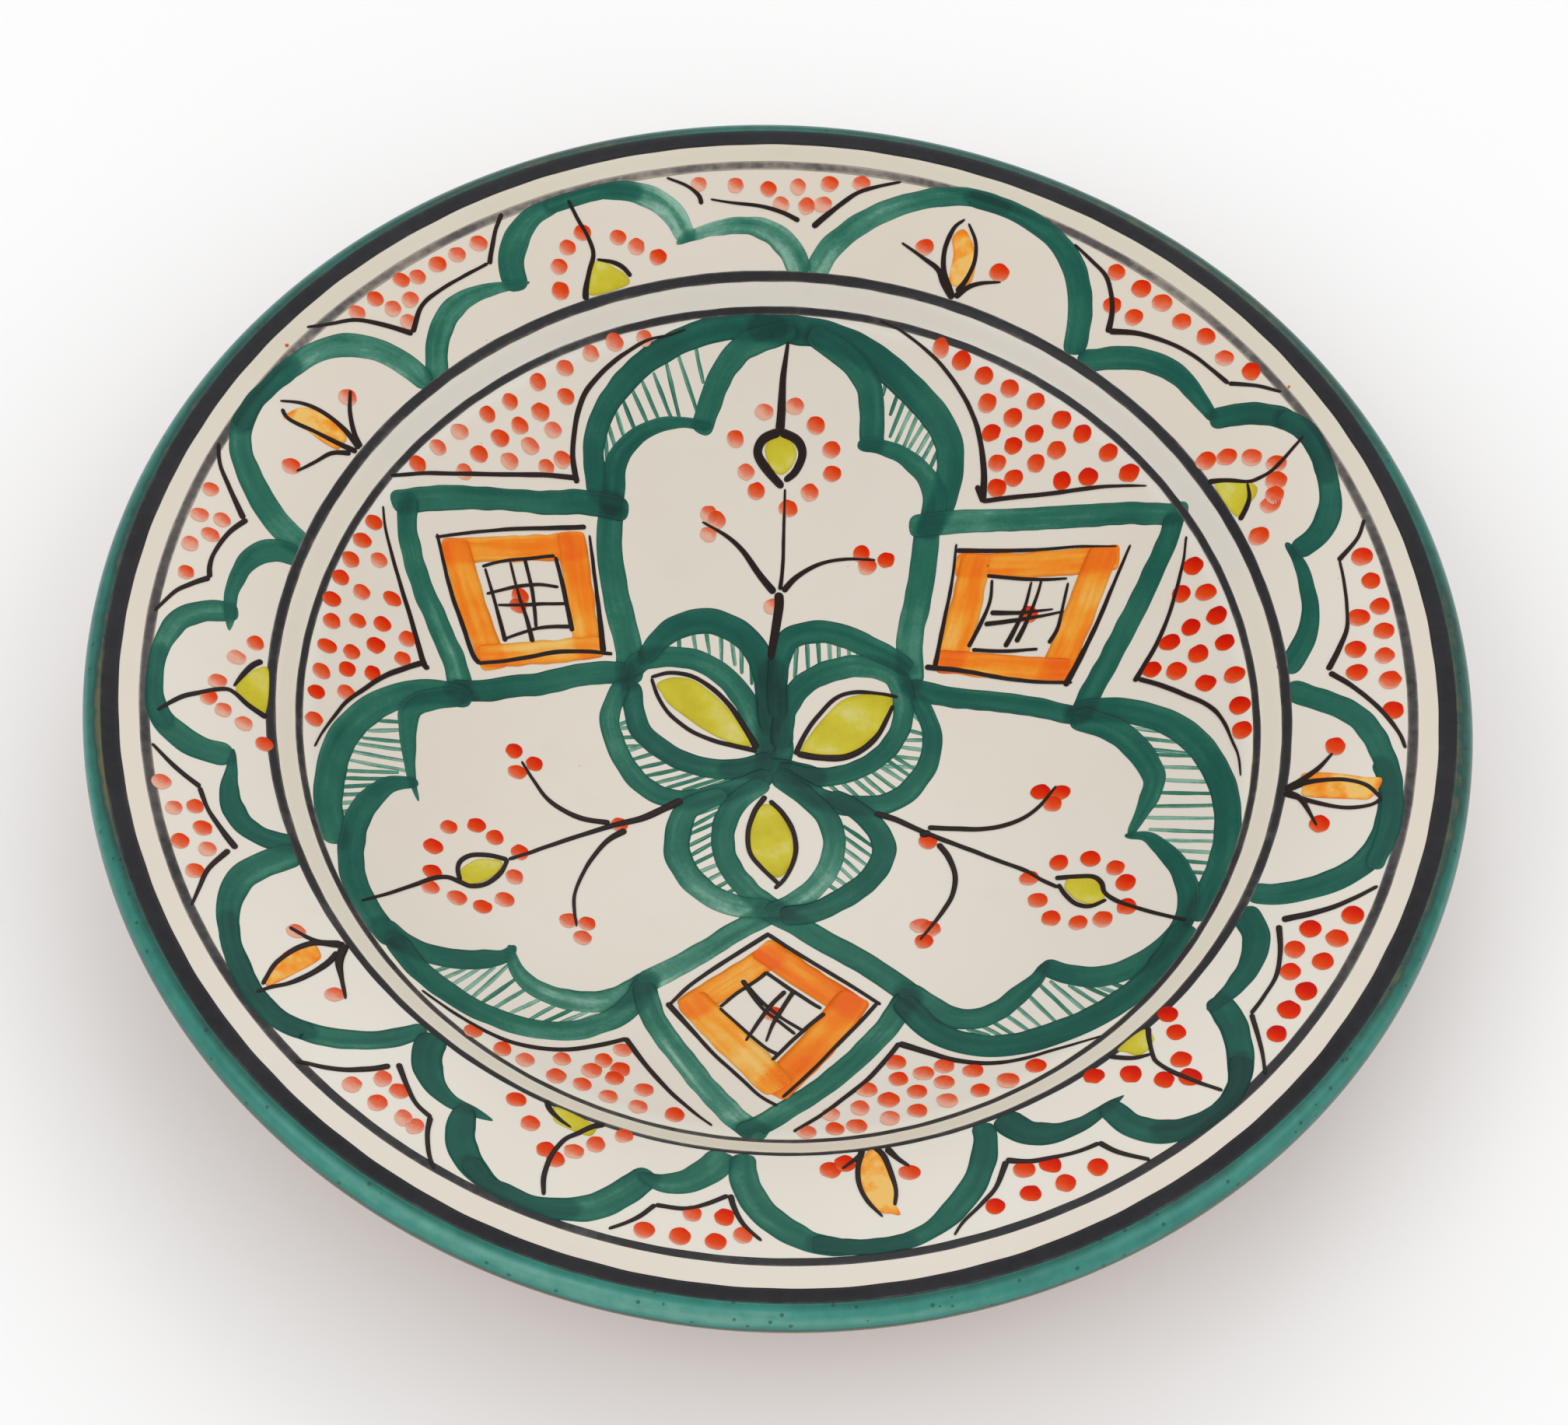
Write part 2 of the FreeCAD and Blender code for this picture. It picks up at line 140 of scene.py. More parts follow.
# Black pen lines of the well.
WELL_PEN = {
 "petal_far": [
  ((9,16,22,26),(-53,1151,-59,1066,-57,980,-57,923)),
  ((26,24,26,20),(-57,923,-101,898,-112,859,-80,816,-37,776)),
  ((24,24,22,16),(-57,923,-9,905,9,869,-5,823,-34,794)),
  ((6,9,11),(-31,773,-26,673,-21,566,-23,494)),
  ((6,12,17,22),(-248,660,-180,630,-130,591,-80,530,-37,484)),
  ((18,12,9,7),(-15,490,20,535,80,575,150,592,228,592)),
  ((26,24,19),(-26,487,-23,437,-34,294))],
 "spandrel_far_left": [
  ((4,8,12,14,13,16),(-334,1149,-373,1130,-437,1105,-494,1062,-544,1012,-587,951,-605,894,-611,830,-609,
   773,-596,719,-589,706)),
  ((15,12,11,9),(-591,719,-659,711,-730,696,-794,680,-873,659,-937,641,-994,623,-1073,589)),
  ((5,9,12,15),(-1084,503,-1073,451,-1048,380,-1016,301,-980,216,-955,151,-934,101,-921,89))],
 "window_far_left": [
  ((8,11,13),(-941,474,-891,330,-851,244,-816,166,-794,143)),
  ((8,10,14),(-944,464,-851,505,-744,544,-651,569,-557,593)),
  ((7,10,12,18),(-546,573,-530,501,-509,401,-494,330,-480,251)),
  ((10,12,13,10),(-798,143,-737,166,-673,194,-601,226,-523,244,-455,251)),
  ((8,9,10),(-817,419,-766,448,-709,469,-632,496)),
  ((10,12,13),(-630,494,-609,437,-587,366,-566,294)),
  ((7,9,12),(-809,416,-780,344,-759,287,-736,224)),
  ((7,9,11),(-741,230,-687,266,-637,291,-573,307)),
  ((6,9,13),(-746,451,-716,366,-687,301,-666,239)),
  ((9,10,9),(-711,473,-680,380,-661,285)),
  ((7,10,8),(-798,346,-737,380,-673,405,-614,412)),
  ((7,10,8),(-766,323,-709,337,-651,355,-591,369))],
 "hub_far_left": [
  ((9,12,13,15,19),(-348,201,-301,221,-244,221,-187,194,-130,144,-80,73,-51,26)),
  ((9,11,12,14),(-346,198,-323,144,-287,98,-230,59,-166,37,-101,26,-51,19))],
 "spandrel_far_right": [
  ((5,8,10,12,15,19),(194,1212,251,1191,309,1155,366,1109,423,1044,466,973,491,901,505,816,505,751)),
  ((14,17),(487,794,509,748)),
  ((13,12,11,5),(505,751,587,757,694,760,801,764,873,759,934,750)),
  ((5,9,11,14),(1041,598,1034,516,1009,401,980,316,951,259,924,209))],
 "window_far_right": [
  ((6,10,13),(443,637,437,530,423,423,405,287)),
  ((13,11,8,5),(444,619,551,614,659,610,766,609,866,598)),
  ((6,10,13,17),(900,598,859,487,823,387,787,301,748,216)),
  ((16,13,11,8),(379,289,480,276,587,251,680,234,766,225)),
  ((10,10,7),(530,546,609,534,680,526,741,524)),
  ((7,10,12),(544,534,541,473,519,409,491,344)),
  ((6,9,12),(744,512,734,451,723,387,701,344)),
  ((11,10,8),(501,337,587,329,673,330)),
  ((6,10,14),(648,523,634,451,609,387,587,341)),
  ((6,10,14),(675,530,662,473,637,401,616,353)),
  ((14,11,5),(544,441,623,437,709,441)),
  ((14,11,6),(530,409,609,416,673,423,737,432))],
 "hub_far_right": [
  ((14,12,11,9),(51,16,73,80,109,144,151,194,201,212,266,209,312,200)),
  ((18,19,15,10),(55,19,116,12,180,16,230,44,266,87,287,137,301,176))],
 "spandrel_left": [
  ((15,14,11,8,5),(-930,109,-980,73,-1030,30,-1073,-23,-1109,-73,-1134,-130,-1155,-187,-1167,-234))],
 "petal_left": [
  ((21,18,13,11,9),(-235,-154,-280,-187,-330,-223,-380,-248,-416,-266,-494,-312,-566,-359,-616,-394,-660,
   -423)),
  ((12,13,12,11),(-662,-424,-709,-423,-751,-434,-776,-459,-780,-487,-770,-521)),
  ((11,13,13,12,9,7),(-662,-424,-674,-469,-705,-512,-741,-530,-769,-525,-801,-519,-837,-534,-880,-569,
   -937,-616,-994,-659)),
  ((6,10,14,15),(-659,-116,-623,-166,-587,-209,-544,-237,-487,-255,-416,-255)),
  ((18,12,10,9,6),(-373,-269,-416,-309,-451,-373,-473,-437,-484,-494,-480,-544,-469,-594))],
 "spandrel_near_left": [
  ((5,8,11,12,12),(-816,-894,-744,-937,-666,-976,-594,-1000,-523,-1005,-451,-994,-380,-966,-312,-931)),
  ((14,12,10,5),(-316,-929,-280,-980,-237,-1037,-180,-1101,-123,-1155,-84,-1187))],
 "window_near": [
  ((12,11,9),(19,-544,-51,-609,-123,-680,-173,-737,-216,-801)),
  ((16,10,9,8),(-223,-798,-159,-873,-94,-951,-30,-1016,23,-1073,69,-1104)),
  ((11,10,9),(16,-548,87,-598,166,-651,237,-701,309,-756)),
  ((10,10,9),(299,-754,259,-816,201,-901,144,-987,80,-1076)),
  ((8,9,10),(-91,-794,-51,-744,-1,-694,19,-669)),
  ((10,10,9),(16,-669,87,-723,137,-759,162,-776)),
  ((12,10,9),(171,-791,137,-830,94,-887,48,-955)),
  ((8,9,9),(-91,-798,-37,-851,23,-909,62,-934)),
  ((10,9,8),(-34,-709,9,-762,59,-809,119,-851)),
  ((14,9,8),(-41,-701,16,-787,59,-826,101,-864)),
  ((12,11,7),(69,-726,37,-773,9,-830,-20,-898)),
  ((12,11,6),(91,-723,66,-780,44,-837,30,-894))],
 "hub_near": [
  ((15,13,12,10),(-19,-116,-44,-166,-57,-230,-48,-294,-16,-337,34,-387)),
  ((13,13,12,10),(-7,-129,30,-166,59,-216,71,-273,62,-330,44,-373,23,-401))],
 "petal_right": [
  ((17,13,11,10),(269,-151,323,-169,380,-198,437,-226,509,-259,587,-298,659,-334,701,-366,744,-394)),
  ((10,12,12,8),(744,-384,762,-419,787,-448,823,-460,862,-444)),
  ((13,13,12,11,10,9),(736,-364,787,-364,830,-369,851,-391,859,-423,894,-455,951,-487,1001,-512,1051,
   -535)),
  ((14,13,11,7),(409,-194,480,-198,544,-201,601,-193,651,-173,694,-137,734,-80)),
  ((20,22),(389,-217,417,-210)),
  ((16,14,13,10,6),(437,-244,466,-287,484,-344,480,-401,459,-451,430,-501,401,-548))],
 "spandrel_right": [
  ((13,13,11,7,4),(934,216,994,187,1051,151,1109,109,1144,59,1169,-13,1182,-55,1187,-115))],
 "spandrel_near_right": [
  ((18,14,10,7,4),(357,-882,423,-909,494,-937,573,-950,651,-941,730,-916,801,-894,844,-881)),
  ((13,11,8),(359,-881,323,-944,280,-1009,230,-1066,180,-1123,112,-1187))],
}
# Orange strokes of the three windows.
FIELD_BRUSH = {
 "window_far_left": [
  ((60,62,66),(-894,441,-740,490,-594,530)),
  ((68,68,66),(-885,440,-825,290,-766,166)),
  ((70,65,62),(-589,540,-557,410,-526,273)),
  ((56,60,56),(-770,174,-640,216,-509,259))],
 "window_far_right": [
  ((60,63,63),(473,576,660,569,844,570)),
  ((70,75,74),(494,571,473,437,444,313)),
  ((70,75,74),(823,564,773,409,723,263)),
  ((60,62,60),(437,304,587,284,730,266))],
 "window_near": [
  ((65,66,68),(11,-631,-73,-709,-155,-794)),
  ((70,70,70),(23,-609,101,-666,173,-719,230,-762)),
  ((80,84,82),(230,-762,173,-866,116,-959,69,-1030)),
  ((80,84,80),(-144,-801,-66,-887,-1,-959,51,-1019))],
}
# Outlines of the lime leaves and buds of the well.
WELL_LIME = {
 "hub_far_left": (-330,184,-291,209,-237,209,-187,180,-137,137,-94,80,-66,34,-123,37,-194,66,-251,101,
  -294,130,-316,159),
 "hub_far_right": (66,23,87,80,123,137,166,187,216,205,266,209,294,201,298,166,273,109,237,59,187,26,123,
  19),
 "petal_far": (-94,874,-80,900,-50,910,-20,896,-7,866,-20,830,-46,810,-76,830),
 "hub_near": (-31,-148,-6,-141,23,-166,51,-216,64,-273,59,-323,37,-362,9,-359,-20,-330,-49,-280,-52,-223,
  -41,-173),
 "petal_left": (-767,-476,-737,-444,-701,-434,-674,-437,-684,-473,-712,-505,-748,-526,-770,-523,-774,
  -498),
 "petal_right": (759,-391,773,-362,809,-364,837,-376,851,-401,857,-437,830,-453,794,-441,769,-412),
}
# Middles of the red dabs of the well.
WELL_DABS = {
 "spandrel_far_left": (-444,1109,-524,1084,-585,1044,-650,994,-718,942,-641,923,-787,874,-705,868,-843,
  826,-756,819,-668,830,-911,760,-804,774,-724,774,-962,703,-854,718,-774,721,-676,730,-637,759,-1009,
  643,-889,660),
 "petal_far": (-104,969,-21,991,40,946,87,885,94,822,37,768,-18,721,-108,760,-140,808,-176,891,-231,683,
  -209,670,-229,627,188,608,207,574,257,593,-40,446),
 "spandrel_far_right": (364,1148,423,1116,486,1076,557,1041,500,1006,629,1003,571,966,701,950,516,930,
  631,921,759,909,577,894,693,873,537,851,641,843,830,851,584,809,541,785,712,791,781,794,887,791),
 "windows": (-712,362,-714,334,644,430,41,-801),
 "spandrel_left": (-1102,451,-1126,392,-1078,354,-1148,330,-1166,271,-1111,251,-1034,259,-1180,203,-1111,
  167,-1050,180,-984,159,-1173,142,-1059,114,-989,98,-1176,68,-1115,73,-1119,21,-1057,31,-1180,-9,-1184,
  -73,-1114,-48,-1179,-154),
 "petal_left": (-681,-89,-666,-151,-626,-116,-391,-255,-817,-364,-750,-339,-701,-364,-634,-394,-848,-434,
  -639,-473,-841,-512,-839,-562,-771,-576,-706,-587,-656,-551,-491,-579,-444,-579,-451,-626),
 "spandrel_near_left": (-319,-969,-681,-991,-605,-1029,-548,-1051,-461,-1028,-362,-1012,-319,-1034,-387,
  -1051,-330,-1066,-469,-1087,-405,-1101,-256,-1092,-339,-1129,-266,-1151,-176,-1162),
 "spandrel_right": (1062,514,1034,441,1096,435,1124,364,1061,344,1009,310,1146,284,1082,264,966,239,1029,
  224,1101,176,1171,186,1185,94,1190,21),
 "petal_right": (744,-316,823,-311,884,-346,909,-396,911,-471,853,-504,793,-509,726,-489,693,-430,671,
  -359,694,-94,744,-101,726,-134,401,-501,426,-512,411,-551,412,-236),
 "spandrel_near_right": (351,-944,419,-980,469,-957,539,-973,689,-964,359,-999,469,-1009,621,-1009,284,
  -1037,405,-1041,555,-1039,337,-1069,478,-1071,269,-1099,406,-1104,198,-1123,341,-1131,262,-1160,210,
  -1171,143,-1186),
}
# Green brush strokes of the rim.
RIM_BRUSH = {
 "trefoil_30": [
  ((55,60,56,46,26),(554,1305,540,1330,525,1360,499,1398,473,1420,446,1426,420,1418,392,1410)),
  ((55,60,60,55,55,48,50),(391,1410,380,1457,365,1507,346,1547,323,1572,296,1570,270,1555)),
  ((55,55,48,50,50,60,60,55),(346,1547,323,1572,296,1570,270,1555,244,1533,227,1503,213,1460,206,1407)),
  ((15,30,36,44,54,60),(219,1387,191,1397,159,1393,130,1383,104,1360,83,1327,70,1297))],
 "arch_73": [
  ((60,60,56,56,52,52,50,50),(896,1307,886,1357,867,1413,841,1470,809,1523,778,1563,746,1587,715,1588)),
  ((50,50,52,52,60,60,60,60),(746,1587,715,1588,683,1579,652,1557,625,1517,604,1463,586,1400,569,1320))],
 "trefoil_115": [
  ((15,30,40,46,60,64,60),(1056,1393,1031,1412,1004,1423,978,1425,954,1410,936,1380,923,1343,916,1303)),
  ((62,66,66,52,40,40,40,56),(1245,1400,1240,1457,1224,1510,1202,1553,1175,1570,1146,1572,1117,1570,1091,
   1553)),
  ((40,40,40,56,62,62,50),(1175,1570,1146,1572,1117,1570,1091,1553,1070,1520,1054,1470,1045,1407)),
  ((10,26,40,54,56,54,60),(1231,1397,1249,1407,1270,1420,1296,1431,1320,1425,1341,1404,1360,1370,1376,
   1330,1386,1300))],
 "arch_153": [
  ((70,66,66,60,54,54,46,46,54),(1665,1307,1654,1373,1638,1433,1620,1487,1599,1540,1575,1573,1549,1583,
   1523,1577,1494,1568)),
  ((54,46,46,54,54,64,60,60,56),(1575,1573,1549,1583,1523,1577,1494,1568,1465,1550,1441,1517,1421,1463,
   1407,1393,1400,1313))],
 "trefoil_186": [
  ((60,64,64,54,42,38,38),(1945,1403,1938,1463,1925,1510,1909,1547,1888,1568,1859,1570,1833,1563)),
  ((54,42,38,38,42,54,56,56,50),(1909,1547,1888,1568,1859,1570,1833,1563,1809,1543,1794,1518,1784,1480,
   1778,1440,1774,1403)),
  ((8,26,44,54,52,52,50),(1938,1387,1959,1395,1981,1410,2002,1415,2023,1403,2038,1380,2050,1343,2056,
   1303)),
  ((10,30,34,40,54,60,56),(1796,1405,1775,1413,1752,1419,1728,1415,1704,1397,1687,1360,1681,1303))],
 "arch_218": [
  ((40,50,50,52,50,50,50,50,46,46),(2326,1305,2316,1373,2302,1427,2283,1480,2262,1523,2239,1556,2207,
   1568,2181,1560,2152,1547,2125,1523)),
  ((50,50,50,50,46,46,52,62,66,66,66),(2262,1523,2239,1556,2207,1568,2181,1560,2152,1547,2125,1523,2106,
   1497,2088,1453,2079,1403,2074,1350,2071,1303))],
 "trefoil_251": [
  ((10,26,36,50,66,70,70),(2448,1408,2428,1412,2404,1420,2381,1407,2361,1377,2348,1340,2342,1297)),
  ((50,66,66,56,40,40,40,56),(2421,1420,2428,1463,2440,1507,2457,1540,2478,1563,2502,1568,2528,1567,2552,
   1550)),
  ((56,40,40,40,56,66,70,70,60),(2457,1540,2478,1563,2502,1568,2528,1567,2552,1550,2573,1520,2588,1477,
   2602,1427,2608,1397)),
  ((26,44,60,70,74,76),(2602,1403,2623,1412,2644,1397,2661,1363,2673,1327,2677,1293))],
 "arch_284": [
  ((56,64,66,66,60,50,40,38,38),(2699,1303,2700,1357,2708,1410,2723,1467,2744,1513,2767,1547,2796,1562,
   2823,1565,2846,1562)),
  ((50,40,38,38,44,56,58,58,56,50),(2767,1547,2796,1562,2823,1565,2846,1562,2873,1537,2899,1493,2920,
   1447,2938,1390,2950,1337,2953,1297))],
 "trefoil_315": [
  ((8,26,34,46,64,70,76),(3092,1403,3065,1407,3038,1410,3012,1398,2992,1370,2982,1333,2978,1293)),
  ((60,66,62,60,50,40,40,50,60),(3237,1377,3228,1427,3213,1480,3195,1527,3173,1567,3149,1581,3134,1580,
   3112,1567,3094,1540)),
  ((60,50,40,40,50,60,64,62,60),(3195,1527,3173,1567,3149,1581,3134,1580,3112,1567,3094,1540,3081,1503,
   3074,1457,3073,1410)),
  ((26,36,48,56,60,64,66),(3225,1377,3246,1385,3270,1390,3294,1387,3317,1370,3334,1343,3348,1300))],
 "arch_351": [
  ((56,60,60,60,54,50,44),(-225,1300,-221,1347,-210,1403,-194,1460,-177,1503,-156,1537,-130,1553,-101,
   1553,-72,1540,-55,1518)),
  ((44,52,54,56,58,56),(-165,1552,-130,1562,-101,1560,-72,1546,-46,1524,-22,1495,-2,1460,15,1405,29,1347,
   43,1297))],
}
# Black pen lines of the rim.
RIM_PEN = {
 "spandrel_48": [
  ((8,10,13),(371,1587,391,1550,412,1500)),
  ((12,10,11,13,18),(412,1500,436,1495,459,1491,486,1477,520,1448,549,1408)),
  ((7,10,12,13,18),(633,1567,609,1548,588,1530,573,1497,559,1453,549,1403))],
 "trefoil_30": [
  ((7,8,11,9,10,12,15),(319,1560,311,1503,304,1450,304,1403,308,1377,323,1337,334,1300)),
  ((6,10,13,14),(306,1377,291,1363,281,1343,271,1313))],
 "spandrel_12": [
  ((9,10,14),(211,1587,194,1550,178,1487)),
  ((7,8,9,13,16),(178,1490,154,1483,128,1473,102,1460,81,1433,57,1397)),
  ((15,12,11,9),(54,1400,33,1453,7,1510,-20,1557,-38,1577))],
 "arch_73": [
  ((7,13,13,15,20),(746,1521,754,1487,756,1427,750,1373,736,1327,729,1307)),
  ((6,10,11,13,16),(741,1513,728,1473,721,1427,721,1373,727,1327)),
  ((6,10,15,16),(804,1415,778,1390,757,1370,746,1340,731,1310)),
  ((6,10,13,18),(684,1391,704,1370,717,1347,727,1313))],
 "spandrel_94": [
  ((18,13,11,7),(904,1423,888,1463,862,1527,841,1557,819,1582)),
  ((7,9,14),(1054,1577,1036,1547,1025,1517,1023,1490)),
  ((5,9,11,13),(1013,1502,988,1487,962,1477,938,1460,919,1438))],
 "trefoil_115": [
  ((10,10,11,12,13,18),(1156,1573,1154,1517,1150,1457,1151,1410,1162,1370,1173,1330,1178,1303)),
  ((7,11,13,12),(1149,1395,1133,1377,1123,1357,1117,1330))],
 "spandrel_134": [
  ((12,11,14),(1223,1598,1238,1557,1252,1510,1260,1483)),
  ((9,9,10,12,15),(1261,1487,1291,1485,1323,1483,1348,1473,1374,1430)),
  ((16,12,10,7),(1375,1427,1394,1493,1412,1547,1433,1580,1452,1615))],
 "arch_153": [
  ((10,11,13,15),(1537,1517,1542,1487,1537,1420,1531,1353,1525,1307)),
  ((6,11,13,15),(1531,1533,1519,1487,1513,1433,1513,1367,1520,1307)),
  ((6,10,14),(1588,1397,1567,1373,1546,1353,1531,1317)),
  ((9,10,13,13),(1473,1420,1494,1380,1509,1340,1517,1307))],
 "spandrel_170": [
  ((9,10,12,16),(1604,1597,1623,1567,1641,1520,1667,1453)),
  ((15,12,10,14),(1666,1445,1688,1472,1715,1488,1731,1488,1744,1480)),
  ((15,11,8),(1744,1480,1757,1520,1770,1553,1794,1590))],
 "spandrel_202": [
  ((8,10,13,15),(2102,1589,2086,1553,2070,1517,2054,1453)),
  ((17,13,10,12),(2054,1435,2033,1453,2007,1473,1981,1482)),
  ((13,11,7),(1981,1480,1959,1530,1933,1580))],
 "trefoil_186": [
  ((8,12,12,12,10,12,16),(1898,1563,1883,1510,1875,1463,1867,1403,1870,1377,1883,1343,1895,1300)),
  ((7,12,15,15),(1862,1380,1846,1360,1833,1340,1824,1317))],
 "arch_218": [
  ((8,10,13,15,16),(2204,1560,2206,1523,2210,1483,2211,1437,2208,1377,2200,1330)),
  ((10,11,12,15,14,18),(2200,1537,2188,1490,2182,1450,2179,1403,2181,1363,2191,1323,2194,1303)),
  ((8,10,20,24),(2252,1393,2231,1367,2211,1343,2194,1303)),
  ((10,10,11,15),(2154,1400,2170,1377,2181,1353,2191,1310))],
 "spandrel_235": [
  ((8,10,12,14),(2434,1597,2423,1573,2409,1527,2401,1487)),
  ((11,10,11,15),(2402,1487,2383,1479,2365,1457,2340,1421)),
  ((15,13,11,8),(2337,1440,2325,1487,2307,1540,2279,1597))],
 "trefoil_251": [
  ((10,12,13,12,11,14,16),(2527,1537,2519,1487,2516,1427,2519,1373,2528,1340,2538,1307,2548,1287)),
  ((6,10,13,15),(2519,1332,2502,1320,2488,1303,2481,1283))],
 "spandrel_265": [
  ((7,10,12,15),(2720,1540,2704,1500,2694,1453,2689,1417)),
  ((11,10,11),(2687,1420,2667,1453,2649,1473,2623,1477)),
  ((12,10,7),(2623,1477,2609,1527,2590,1570))],
 "spandrel_297": [
  ((6,8,10,11,16),(2884,1573,2896,1543,2917,1510,2936,1477,2956,1420)),
  ((16,12,10,9,11),(2956,1417,2975,1443,2999,1460,3020,1473,3041,1479)),
  ((14,11,9),(3041,1477,3049,1523,3067,1583))],
 "arch_284": [
  ((8,11,14,15),(2841,1463,2846,1423,2846,1370,2844,1317,2838,1287)),
  ((6,10,11,13,16),(2828,1489,2817,1437,2813,1390,2815,1343,2823,1290)),
  ((8,12,20),(2866,1360,2857,1330,2849,1293)),
  ((7,11,14),(2799,1340,2817,1310,2825,1290))],
 "trefoil_315": [
  ((8,10,12,11,10,11,14),(3161,1550,3152,1490,3145,1430,3143,1383,3148,1357,3159,1323,3170,1297)),
  ((7,10,12,13),(3146,1357,3133,1340,3123,1317,3115,1293))],
 "spandrel_331": [
  ((8,10,13),(3198,1593,3215,1547,3242,1467)),
  ((10,9,11,12,15),(3242,1465,3265,1463,3291,1457,3317,1433,3345,1397)),
  ((9,11,14,18),(3415,1577,3396,1533,3375,1477,3352,1397))],
 "arch_351": [
  ((8,11,11,12,15,20),(3507,1533,3520,1493,3525,1447,3525,1400,3521,1347,3512,1300)),
  ((8,9,10,11,13,20),(3508,1533,3500,1513,3494,1467,3494,1420,3499,1360,3508,1300)),
  ((7,11,16,20),(3557,1403,3538,1370,3523,1333,3513,1303)),
  ((6,10,14,20),(3469,1393,3488,1363,3502,1337,3508,1303))],
}
# Outlines of the rim's lime leaves.
RIM_LIME = {
 "trefoil_30": (327,1310,315,1350,304,1383,294,1390,286,1370,281,1337,279,1309),
 "trefoil_115": (1169,1310,1166,1343,1154,1387,1146,1390,1133,1363,1123,1337,1124,1311),
 "trefoil_186": (1888,1303,1882,1337,1875,1370,1859,1373,1846,1350,1836,1330,1834,1300),
 "trefoil_251": (2538,1300,2542,1327,2536,1337,2517,1337,2502,1333,2496,1320,2494,1290),
 "trefoil_315": (3165,1293,3163,1330,3154,1337,3148,1343,3136,1337,3131,1310,3128,1290),
}
# Outlines of the rim's orange buds.
RIM_ORANGE = {
 "arch_73": (744,1493,732,1470,724,1440,717,1400,716,1360,725,1343,738,1343,742,1373,745,1420,752,1463),
 "arch_153": (1544,1500,1536,1497,1523,1480,1515,1440,1513,1387,1520,1347,1531,1347,1538,1347,1541,1387,
  1541,1440),
 "arch_218": (2204,1523,2198,1523,2188,1483,2179,1450,2177,1403,2182,1370,2194,1370,2200,1383,2203,1437),
 "arch_284": (2844,1490,2836,1483,2828,1477,2821,1450,2816,1403,2816,1343,2828,1297,2836,1293,2842,1330,
  2846,1397,2842,1450),
 "arch_351": (3528,1527,3507,1507,3504,1467,3504,1353,3515,1340,3531,1333,3534,1367,3532,1433,3529,1487),
}
# Middles of the red dabs of the rim.
RIM_DABS = {
 "spandrel_48": (407,1565,436,1540,466,1550,495,1541,524,1550,550,1551,581,1553,537,1475,564,1470),
 "trefoil_30": (308,1463,291,1440,329,1422,270,1397,277,1417,346,1373,357,1327,242,1335),
 "spandrel_12": (174,1545,146,1547,117,1550,90,1545,63,1537,36,1543,3,1545,110,1493,75,1470,49,1465),
 "arch_73": (778,1418,690,1413),
 "spandrel_94": (890,1547,858,1559,895,1487,912,1480,1023,1547,986,1537,952,1525,922,1533,939,1482),
 "trefoil_115": (1154,1475,1175,1448,1192,1407,1202,1347,1119,1438,1102,1403,1081,1365),
 "spandrel_134": (1259,1547,1284,1545,1307,1547,1332,1545,1347,1561,1353,1504,1374,1510,1370,1458,1381,
  1559,1405,1559),
 "arch_153": (1586,1415,1481,1413),
 "spandrel_170": (1652,1558,1682,1555,1715,1551,1746,1539,1698,1512,1678,1500),
 "spandrel_202": (2069,1549,2036,1560,2001,1553,1973,1570,2049,1503,2026,1498,2002,1502),
 "trefoil_186": (1879,1440,1892,1405,1859,1420,1827,1380,1804,1339,1906,1357,1929,1311),
 "arch_218": (2242,1407,2161,1390),
 "spandrel_235": (2396,1530,2383,1529,2356,1537,2328,1543,2362,1478,2342,1479),
 "trefoil_251": (2521,1433,2508,1417,2533,1393,2549,1353,2572,1303,2481,1367,2454,1323),
 "spandrel_265": (2681,1551,2650,1550,2619,1551,2704,1527,2686,1482,2657,1483),
 "spandrel_297": (3026,1533,2993,1535,2961,1525,2927,1527,2991,1473,2967,1459),
 "arch_284": (2864,1377,2787,1340,2803,1323),
 "trefoil_315": (3152,1470,3161,1420,3133,1432,3115,1367,3086,1313,3183,1357,3196,1307),
 "spandrel_331": (3379,1548,3351,1538,3324,1535,3289,1540,3264,1533,3237,1547,3352,1470,3325,1460,3301,
  1480),
 "arch_351": (3565,1408,3472,1398),
}

# ---- sizes, in mm ----

MM = 0.001
TENTHS = 10  # the tables above are in tenths
FLOOR_Z, WELL_DEEP = 12.5, 32.0  # the middle of the well's face, and how much higher its edge is
WELL_R, WELL_Z = 122.7, 44.5  # where the well meets the wall
LEDGE_R, LEDGE_Z = 128.5, 51.3  # where the wall meets the rim
WALL_R, WALL_RISE, WALL_RUN = 125.6, 6.8, 5.8  # the wall's middle, and its height and width
RIM_MIDDLE = (147, 58.2)
BAND_R, BAND_Z = 165.6, 62.8  # where the rim meets the flat under the lip's black band
BAND_RISE, BAND_RUN = 0.2, 4.4
EDGE_R, EDGE_Z = 170, 58  # the middle of the round lip
LIP_ROUND, CLAY_ROUND = 5.0, 4.5  # the round lip's radius with its glaze, and without
GLAZE_THICK, CLAY_THICK = 0.5, 8
FOOT_IN, FOOT_OUT = 62, 74
CORNER_REACH, CORNER_STEPS = 9, 35  # smoothed this near to the wall's middle, over these table steps

BURIED = -0.08  # how far a painted piece reaches down into the coat under it
HATCH_LIFT, GREEN_LIFT, WASH_LIFT, DAB_LIFT, PEN_LIFT = 0.03, 0.06, 0.15, 0.16, 0.17
WELL_REACH, RIM_REACH, WALL_SPLIT = 120.5, 129.2, 124.5  # strokes stop this near to the wall, either side
